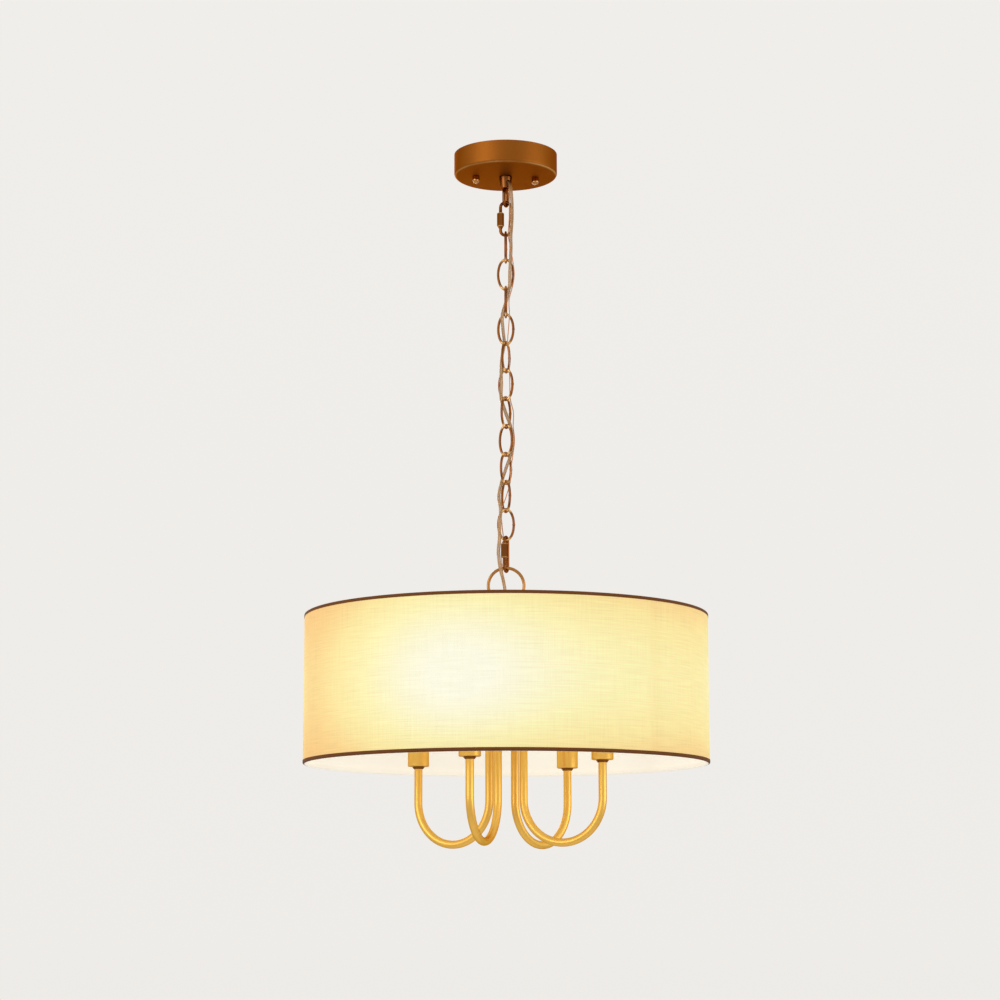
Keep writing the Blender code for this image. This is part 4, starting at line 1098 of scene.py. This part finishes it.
# %% Cup, washer and lampholder
CUP_WALL, CUP_FLOOR, CUP_EASE = 0.0008, 0.0015, 0.0012
WASHER_STEP, WASHER_NECK, WASHER_EASE = 0.0013, 0.0064, 0.0003
HOLDER_BODY, HOLDER_WELL, HOLDER_DEPTH, HOLDER_FLOOR = 0.0100, 0.0073, 0.0240, 0.0103
HOLDER_FLARE = (0.0055, 0.0035)  # where it starts and ends, below the rim
ARM_HOLE = ARM_TUBE / 2 + GAP
FIRST_CUP = (ARM_REACH, 0, 0)


def first_cup():
    low, high, size = span("socket_cup_1")
    inside = size - CUP_WALL
    profile = [(ARM_HOLE, low + CUP_FLOOR), (ARM_HOLE, low)]
    profile += arc(size - CUP_EASE, low + CUP_EASE, CUP_EASE, -90, 0, 6)
    profile += arc(size - CUP_WALL / 2, high - CUP_WALL / 2, CUP_WALL / 2, 0, 180, 6)
    profile += [(inside, low + CUP_FLOOR), (ARM_HOLE, low + CUP_FLOOR)]
    return finished(lathe(profile, 80, FIRST_CUP), "cup_sleeve_1", satin_brass)


def first_washer():
    low, high, wide = span("cup_washer_1")
    neck, ease, step = WASHER_NECK, WASHER_EASE, high - WASHER_STEP
    profile = [(ARM_HOLE, high), (wide - ease, high), (wide, high - ease), (wide, step + ease)]
    profile += [(wide - ease, step), (neck, step), (neck, low + ease), (neck - ease, low)]
    profile += [(ARM_HOLE, low), (ARM_HOLE, high)]
    return finished(lathe(profile, 56, FIRST_CUP), "cup_foot_1", chain_brass)


def first_lampholder():
    low, high, rim = span("lampholder_1")
    body, well, bottom, floor = HOLDER_BODY, HOLDER_WELL, high - HOLDER_DEPTH, low + HOLDER_FLOOR
    profile = [(ARM_HOLE, floor), (ARM_HOLE, low), (body - EASE, low), (body, low + EASE)]
    profile += [(body, high - HOLDER_FLARE[0]), (rim, high - HOLDER_FLARE[1])]
    profile += arc(rim - EASE, high - EASE, EASE, 0, 90, 4)
    profile += [(well + EASE, high), (well, high - EASE), (well, bottom), (0, bottom)]
    profile += [(0, floor), (ARM_HOLE, floor)]
    return finished(lathe(profile, 56, FIRST_CUP), "lampholder_shell_1", holder_white)


# %% [markdown]
# ### Bulbs
# A candle bulb is pearl glass over a nickel screw cap. The lamp is lit in the photograph, so the glass has
# a warm glow of its own, but most light on the object still comes from the studio.

# %% Bulb glass and cap
# (share of the glass's height, share of the bulb's radius), from the tip down
BULB_SHARES = ((1.0, 0.0), (0.97, 0.17), (0.90, 0.34), (0.80, 0.56), (0.69, 0.76), (0.58, 0.90), (0.48, 0.98))
BULB_SHARES += ((0.38, 1.0), (0.28, 0.94), (0.17, 0.80), (0.08, 0.60), (0.0, 0.40))
BULB_CAP_RADIUS, BULB_CAP_HEIGHT = 0.0068, 0.0237
BULB_SEAM = 0.001  # from the glass's foot up to where its curve starts
CAP_THREAD_DEPTH, CAP_PITCH, CAP_THREAD_FOOT = 0.0006, 0.0028, 0.0045
CAP_COLLAR, CAP_CONE, CAP_CONTACT = 0.0066, (0.0045, 0.003), (0.0025, 0.0022)
BULB_CORE_RISE, BULB_CORE_SPREAD = 0.006, 0.030  # where the glow is strongest, over the bulb's middle


def pearl_glass():
    """Frosted glass with a warm glow that is strongest round the middle of the bulb."""
    finish = Finish("pearl_glass", {"Coat Weight": 0.5, "Coat Roughness": 0.1, "Emission Strength": 1.0})
    frost = finish.noise(500, 2)
    finish.set("Base Color", finish.mix(frost, (0.30, 0.26, 0.18), (0.37, 0.32, 0.23)))
    finish.set("Roughness", 0.30 + frost * 0.15)
    height = finish.parts(finish.place())[2]
    core = (height - middle("bulb_1").z - BULB_CORE_RISE).bump(BULB_CORE_SPREAD)
    finish.set("Emission Color", finish.mix(core * 0.9 + frost * 0.1, (0.40, 0.28, 0.12), (0.66, 0.60, 0.42)))
    return finish.material


def first_bulb():
    """(glass, cap) of the bulb on the first arm."""
    low, high, size = span("bulb_1")
    shoulder = low + BULB_CAP_HEIGHT + BULB_SEAM
    rise = high - shoulder
    seam = shoulder - BULB_SEAM
    glass = [(share * size, shoulder + up * rise) for up, share in BULB_SHARES] + [(0, seam)]
    glass = finished(lathe(glass, 56, FIRST_CUP), "bulb_glass_1", pearl, math.radians(60))
    thread = threaded(BULB_CAP_RADIUS, CAP_THREAD_DEPTH, CAP_PITCH, seam, low + CAP_THREAD_FOOT)[1:-1]
    cap = [(0, shoulder), (CAP_COLLAR, shoulder)] + thread
    cap += [(across, low + up) for across, up in (CAP_CONE, CAP_CONTACT)]
    cap += [(CAP_CONTACT[0], low), (0, low)]
    return glass, finished(lathe(cap, 48, FIRST_CUP), "bulb_cap_1", cap_metal, math.radians(50))


pearl = pearl_glass()
bulb_glass, bulb_cap = first_bulb()
arm_set = (
    (first_arm(), "arm_tube", "arm", "lamp", "satin_brass"),
    (first_cup(), "cup_sleeve", "socket_cup", "lamp", "satin_brass"),
    (first_washer(), "cup_foot", "cup_washer", "lamp", "satin_brass"),
    (first_lampholder(), "lampholder_shell", "lampholder", "lamp", "lampholder_white"),
    (bulb_glass, "bulb_glass", "bulb", "bulb", "lit_bulb"),
    (bulb_cap, "bulb_cap", "bulb", "bulb", "zinc_steel"),
)
for first, label, node, body, slot in arm_set:
    for number in ARM_NUMBERS:
        piece = first
        if number > 1:
            piece = copied(first, f"{label}_{number}", from_first_arm(number))
        owner = f"bulb_{number}" if body == "bulb" else body
        fit(piece, owner, slot, f"{node}_{number}")
print("arm pieces", len(arm_set) * len(ARM_NUMBERS))

# %% [markdown]
# ## The hub
# Four arms screw into a turned cup inside the shade, and a lid screws over it.

# %% Hub and cover
HUB_WALL, HUB_FLOOR, HUB_EASE = 0.0020, 0.0040, 0.0020


def hub_cup():
    low, high, size = span("hub")
    inside = size - HUB_WALL
    profile = [(0, low + HUB_FLOOR), (0, low)]
    profile += arc(size - HUB_EASE, low + HUB_EASE, HUB_EASE, -90, 0, 8)
    profile += [(size, high), (inside, high), (inside, low + HUB_FLOOR), (0, low + HUB_FLOOR)]
    cup = lathe(profile, 112)
    for number in ARM_NUMBERS:
        hole = rod(ARM_HOLE, low - GAP, low + HUB_FLOOR + GAP, arm_place(number)[1].xy)
        boolean(cup, hole, "DIFFERENCE")
    return finished(cup, "hub_cup", satin_brass)


def hub_lid():
    low, high, size = span("hub_cover")
    inside = size - HUB_WALL
    hole = radius("stem") + GAP
    profile = [(hole, high - HUB_WALL), (hole, high)]
    profile += arc(size - HUB_EASE, high - HUB_EASE, HUB_EASE, 90, 0, 8)
    profile += [(size, low), (inside, low), (inside, high - HUB_WALL), (hole, high - HUB_WALL)]
    return finished(lathe(profile, 112), "hub_lid", satin_brass)


fit(hub_cup(), "lamp", "satin_brass", "hub")
fit(hub_lid(), "lamp", "satin_brass", "hub_cover")

# %% [markdown]
# ## The shade's wire frame
# A white enamelled ring stiffens each edge, and four spokes carry the upper ring from a washer on the
# stem. Rings are torus primitives, and spokes are rods laid from the washer out to the ring.

# %% Rings, spokes and washer
SHADE_WALL = 0.0010
RING_ROD = 0.0030
SPOKE_TURNS = [math.radians(12 + 90 * number) for number in range(4)]
WASHER_RADIUS, WASHER_THICKNESS = 0.0120, 0.0018
FRAME_DEPTH = SHADE_WALL + GAP + RING_ROD / 2
FRAME_RADIUS = SHADE_RADIUS - SHADE_WALL - GAP - RING_ROD / 2


def wire_ring(height):
    return torus(FRAME_RADIUS, RING_ROD, height, 192, 12)


def spoke(turn):
    """A rod from the washer to the upper ring."""
    washer_middle = top("shade_spider") - WASHER_THICKNESS / 2
    start = around(WASHER_RADIUS * 0.75, turn, washer_middle)
    end = around(FRAME_RADIUS, turn, SHADE_TOP - FRAME_DEPTH)
    along = end - start
    bpy.ops.object.select_all(action="DESELECT")
    bpy.ops.mesh.primitive_cylinder_add(vertices=20, radius=RING_ROD / 2, depth=along.length)
    piece = bpy.context.object
    piece.data.transform(along.to_track_quat("Z", "Y").to_matrix().to_4x4())
    piece.data.transform(Matrix.Translation((start + end) / 2))
    return piece


def spider():
    high, size, ease = top("shade_spider"), WASHER_RADIUS, WASHER_EASE
    low = high - WASHER_THICKNESS
    hole = radius("stem") + GAP
    profile = [(hole, high), (size - ease, high), (size, high - ease)]
    profile += [(size, low + ease), (size - ease, low), (hole, low), (hole, high)]
    washer, ring = lathe(profile, 56), wire_ring(SHADE_TOP - FRAME_DEPTH)
    return joined(ring, washer, *[spoke(turn) for turn in SPOKE_TURNS])


fit(finished(spider(), "spider_frame", white_paint), "lamp", "white_wire", "shade_spider")
lower_ring = finished(wire_ring(SHADE_FOOT + FRAME_DEPTH), "lower_frame_ring", white_paint)
fit(lower_ring, "lamp", "white_wire", "shade_bottom_ring")

# %% [markdown]
# ## The shade
# The drum is linen laminated to a white plastic film. Linen has long slubs in both directions, and with
# light behind it each slub is a shadow. The cloth's own map is in metres, so the weave keeps its size.
# Behind it each bulb makes a warm pool, and the drum is darker to its sides and edges.

# %% Linen
THREAD = 0.0011  # distance between two threads of the weave
HEM_MEETS = SHADE_RADIUS - 0.0022  # radius at which the painted dark band outside meets the film inside
GLOW_HEIGHT, GLOW_SPREAD = -0.688, 0.095
RIM_MIDDLE = (SHADE_TOP + SHADE_FOOT) / 2 + 0.006  # the drum stays lighter to its top edge
RIM_REACH = 0.105  # from there to where the cloth is at its darkest
# (turn, spread, strength) of each pool of light, in degrees and as a share of full light
GLOW_SHARES = (
    (-78, 18, 0.68),
    (-65, 38, 0.42),
    (-20, 25, 0.18),
    (38, 20, 0.55),
    (100, 22, 0.75),
    (185, 17, 0.70),
)
LIT_CLOTH = (
    (0.0, (0.575, 0.20, 0.010)),
    (0.235, (0.59, 0.50, 0.19)),
    (0.47, (0.595, 0.60, 0.31)),
    (1.0, (0.595, 0.67, 0.645)),
)
SEAM_TURN = math.radians(-18.7)
SEAM_WIDTH = 0.020


def glow_of(east, north, height):
    """How brightly the bulbs light each part of the drum from behind."""
    total = None
    for degrees, spread, strength in GLOW_SHARES:
        turn = math.radians(degrees)
        facing = east * (math.cos(turn) / SHADE_RADIUS) + north * (math.sin(turn) / SHADE_RADIUS)
        pool = ((facing - 1) / math.radians(spread) ** 2).maths("EXPONENT") * strength
        total = pool if total is None else total + pool
    return total * (height - GLOW_HEIGHT).bump(GLOW_SPREAD)


def linen():
    finish = Finish("lit_linen", {"Emission Strength": 1.0, "Specular IOR Level": 0.1})
    east, north, height = finish.parts(finish.place())
    glow = glow_of(east, north, height)
    mapped = finish.node("ShaderNodeTexCoord", out="UV")
    weft = finish.noise(1, 3, (22, 760, 1), mapped)
    warp = finish.noise(1, 3, (760, 22, 1), mapped)
    slubs = (weft - 0.5) * 1.5 + (warp - 0.5) * 0.8
    pitch = 2 * math.pi / THREAD
    along, up, _ = finish.parts(mapped)
    weave = (along * pitch).maths("SINE") * (up * pitch).maths("SINE")
    body = (slubs * 0.55 + weave * 0.12 + 0.5).clamped()
    finish.set("Base Color", finish.mix(body, (0.46, 0.38, 0.205), (0.54, 0.445, 0.245)))
    finish.set("Roughness", 0.82 + slubs * 0.08)
    beside_seam = (north * math.cos(SEAM_TURN) - east * math.sin(SEAM_TURN)).bump(SEAM_WIDTH / 2)
    near_side = (east * math.cos(SEAM_TURN) + north * math.sin(SEAM_TURN)).maths("GREATER_THAN", 0)
    seam = beside_seam * near_side
    rim = ((height - RIM_MIDDLE) / RIM_REACH).maths("ABSOLUTE") ** 4
    light = (0.88 + slubs * (0.34 - glow * 0.18) + weave * 0.04) * (1 - rim * 0.09) * (1 - seam * 0.02)
    glow = glow * (1 - rim * 0.30) * (1 - seam * 0.12)
    lit = finish.node("ShaderNodeValToRGB", {"stops": LIT_CLOTH}, {0: glow.clamped()})
    finish.set("Emission Color", finish.mix(light.clamped(), (0, 0, 0), lit))
    finish.raise_by((slubs * 0.5 + weave * 0.5 + 0.5).clamped(), 0.0004, 0.5)
    return finish.material


def lining():
    """The white film inside, bright from the bulbs."""
    finish = Finish("white_film", {"Coat Weight": 0.15, "Coat Roughness": 0.4, "Emission Strength": 1.0})
    glow = glow_of(*finish.parts(finish.place()))
    cloud = finish.noise(30, 2)
    finish.set("Base Color", finish.mix(cloud, (0.80, 0.775, 0.71), (0.86, 0.84, 0.78)))
    finish.set("Roughness", 0.5 + cloud * 0.1)
    lit = (glow * 0.5 + 0.45).clamped()
    finish.set("Emission Color", finish.mix(lit, (0.285, 0.276, 0.242), (0.32, 0.31, 0.275)))
    return finish.material


def hem_shade_band():
    """Painted shade outside, a dark brown band where the wire ring behind keeps light from the cloth, and
    inside the white film, which comes round the wire to meet it.
    """
    finish = Finish("hem_shade_band", {"Emission Strength": 1.0, "Specular IOR Level": 0.2})
    fine = finish.noise(900, 3)
    cloud = finish.noise(70, 2)
    east, north, _ = finish.parts(finish.place())
    film = (east * east + north * north).maths("LESS_THAN", HEM_MEETS**2)
    dark_band = finish.mix(fine * 0.6 + cloud * 0.4, (0.085, 0.026, 0.004), (0.20, 0.066, 0.012))
    finish.set("Base Color", finish.mix(film, dark_band, (0.82, 0.79, 0.72)))
    finish.set("Emission Color", finish.mix(film, (0, 0, 0), (0.33, 0.315, 0.27)))
    finish.set("Roughness", 0.72 + fine * 0.12)
    finish.raise_by(fine, 0.0003, 0.5)
    return finish.material


lit_linen = linen()
white_film = lining()
hem_shade = hem_shade_band()

# %% [markdown]
# ### Cutting the cloth
# The cloth is a strip as long as the drum is round. It is modelled as an open tube, subdivided, unrolled
# into a map that is in metres, and then given its thickness. The hem is rolled over each edge: 4.2 mm of it
# shows outside, painted dark brown as the shade of the wire ring within it, and the white film comes round
# the wire ring inside.

# %% Cloth, lining and hems
CLOTH_THICKNESS, FILM_THICKNESS = 0.0005, 0.0003
CLOTH_DROP, FILM_DROP = 0.0012, 0.0014  # from the drum's edges to theirs, inside the hems
FILM_GAP = 0.00002
HEM_SHOWS, HEM_FLAP, HEM_THICKNESS = 0.0042, 0.0052, 0.0004
HEM_SQUASH = 0.55  # height of the roll over the edge, as a share of half its width


def drum(size, drop, thickness):
    """An open tube with a wall inwards, and a map of its unrolled length and height in metres."""
    low, high = SHADE_FOOT + drop, SHADE_TOP - drop
    place = (0, 0, (low + high) / 2)
    bpy.ops.object.select_all(action="DESELECT")
    bpy.ops.mesh.primitive_cylinder_add(
        vertices=240, radius=size, depth=high - low, end_fill_type="NOTHING", location=place
    )
    piece = bpy.context.object
    bpy.ops.object.transform_apply(location=True)
    edit(piece)
    bpy.ops.mesh.select_all(action="SELECT")
    bpy.ops.mesh.bisect(plane_co=place, plane_no=(0, 0, 1))
    done()
    unroll(piece, size)
    wall = piece.modifiers.new("wall", "SOLIDIFY")
    wall.thickness = thickness
    bpy.ops.object.modifier_apply(modifier=wall.name)
    return piece


def unroll(piece, size):
    """Writes each corner's place round the drum and its height to the map, in metres."""
    data = piece.data
    mapped = data.uv_layers.active or data.uv_layers.new(name="UVMap")
    for face in data.polygons:
        home = math.atan2(face.center.y, face.center.x)
        for corner in face.loop_indices:
            place = data.vertices[data.loops[corner].vertex_index].co
            turn = math.atan2(place.y, place.x) - home
            turn = (turn + math.pi) % (2 * math.pi) - math.pi
            mapped.data[corner].uv = ((home + turn) * size, place.z)


def hem_profile(edge, sign):
    """Section of the tape round an edge: outside band, round the edge, and a flap inside."""
    outer = SHADE_RADIUS
    inner = FRAME_RADIUS - RING_ROD / 2 - GAP - SHADE_WALL
    roll, centre = (outer - inner) / 2, (outer + inner) / 2

    def round_edge(size, start, end):
        points = arc(centre, edge, size, start, end, 14)
        return [(x, edge - sign * roll * HEM_SQUASH + (z - edge) * HEM_SQUASH) for x, z in points]

    outside, inside = edge - sign * HEM_SHOWS, edge - sign * HEM_FLAP
    return (
        [(outer - HEM_THICKNESS, outside), (outer, outside)]
        + round_edge(roll, 0, sign * 180)
        + [(inner, inside), (inner + HEM_THICKNESS, inside)]
        + round_edge(roll - HEM_THICKNESS, sign * 180, 0)
        + [(outer - HEM_THICKNESS, outside)]
    )


cloth_radius = SHADE_RADIUS - HEM_THICKNESS
cloth = finished(drum(cloth_radius, CLOTH_DROP, CLOTH_THICKNESS), "shade_linen", lit_linen)
fit(cloth, "lamp", "cream_linen", "shade")
film = drum(cloth_radius - CLOTH_THICKNESS - FILM_GAP, FILM_DROP, FILM_THICKNESS)
fit(finished(film, "shade_lining", white_film), "lamp", "cream_linen", "shade")
for name, edge, sign in (("shade_hem_top", SHADE_TOP, 1), ("shade_hem_foot", SHADE_FOOT, -1)):
    hem = finished(lathe(hem_profile(edge, sign), 240), name, hem_shade, math.radians(60))
    fit(hem, "lamp", "cream_linen", "shade")

# %% [markdown]
# ## Studio
# Soft light from a pale world and three large lamps round the object keeps colours close to what the
# materials say. The world's own colour shows behind, and metal mirrors the same pale room.

# %% World, lamps and floor
# What the camera, metal and glass see of the room, from straight down to straight up
ROOM = ((0.0, (0.62, 0.60, 0.57)), (0.5, (0.86, 0.84, 0.81)), (1.0, (0.90, 0.88, 0.85)))
WORLD_COLOUR, WORLD_LIGHT = (1.0, 0.985, 0.96), 0.70
FLOOR_HEIGHT, FLOOR_RADIUS = -3.4, 6.0
FLOOR_SEEN = (0.93, 0.915, 0.89)
LAMP_DISTANCE, LAMP_AIM = 3.0, Vector((0, 0, -0.55))
# Name, turn in degrees, height, size, power and colour of each lamp
LAMPS = (
    ("key", -110, 0.2, 2.4, 32, (1.0, 0.97, 0.92)),
    ("fill", 5, -0.3, 2.2, 24, (1.0, 0.96, 0.90)),
    ("back", 130, 0.3, 2.2, 28, (1.0, 0.97, 0.93)),
)


def add_world():
    world = bpy.data.worlds.new("studio")
    bpy.context.scene.world = world
    world.use_nodes = True
    studio = Graph(world.node_tree)
    height = studio.parts(studio.node("ShaderNodeTexCoord", out="Generated"))[2] * 0.5 + 0.5
    colour = studio.node("ShaderNodeValToRGB", {"stops": ROOM}, {0: height})
    light = studio.node("ShaderNodeBackground", None, {"Color": WORLD_COLOUR, "Strength": WORLD_LIGHT})
    backdrop = studio.node("ShaderNodeBackground", None, {"Color": colour, "Strength": 1.0})
    both = studio.node("ShaderNodeMixShader", None, {0: studio.seen(), 1: light, 2: backdrop})
    feed(studio.tree, studio.tree.nodes["World Output"].inputs["Surface"], both)


def add_lamp(name, turn, height, size, power, colour):
    """A large soft lamp that looks at the middle of the object."""
    place = around(LAMP_DISTANCE, math.radians(turn), height)
    bpy.ops.object.light_add(type="AREA", location=place)
    lamp = bpy.context.object
    lamp.name = name
    lamp.rotation_euler = (LAMP_AIM - place).to_track_quat("-Z", "Y").to_euler()
    lamp.data.shape = "DISK"
    lamp.data.size = size
    lamp.data.energy = power
    lamp.data.color = colour


def add_floor():
    place = (0, 0, FLOOR_HEIGHT)
    bpy.ops.mesh.primitive_circle_add(vertices=128, radius=FLOOR_RADIUS, fill_type="NGON", location=place)
    floor = bpy.context.object
    floor.name = "floor"
    finish = Finish("pale_floor", {"Roughness": 0.9})
    plain = finish.mix(finish.noise(2, 3), (0.70, 0.68, 0.65), (0.75, 0.73, 0.70))
    finish.set("Base Color", finish.mix(finish.seen(), plain, FLOOR_SEEN))
    floor.data.materials.append(finish.material)


bpy.ops.object.select_all(action="DESELECT")
add_world()
for lamp in LAMPS:
    add_lamp(*lamp)
add_floor()
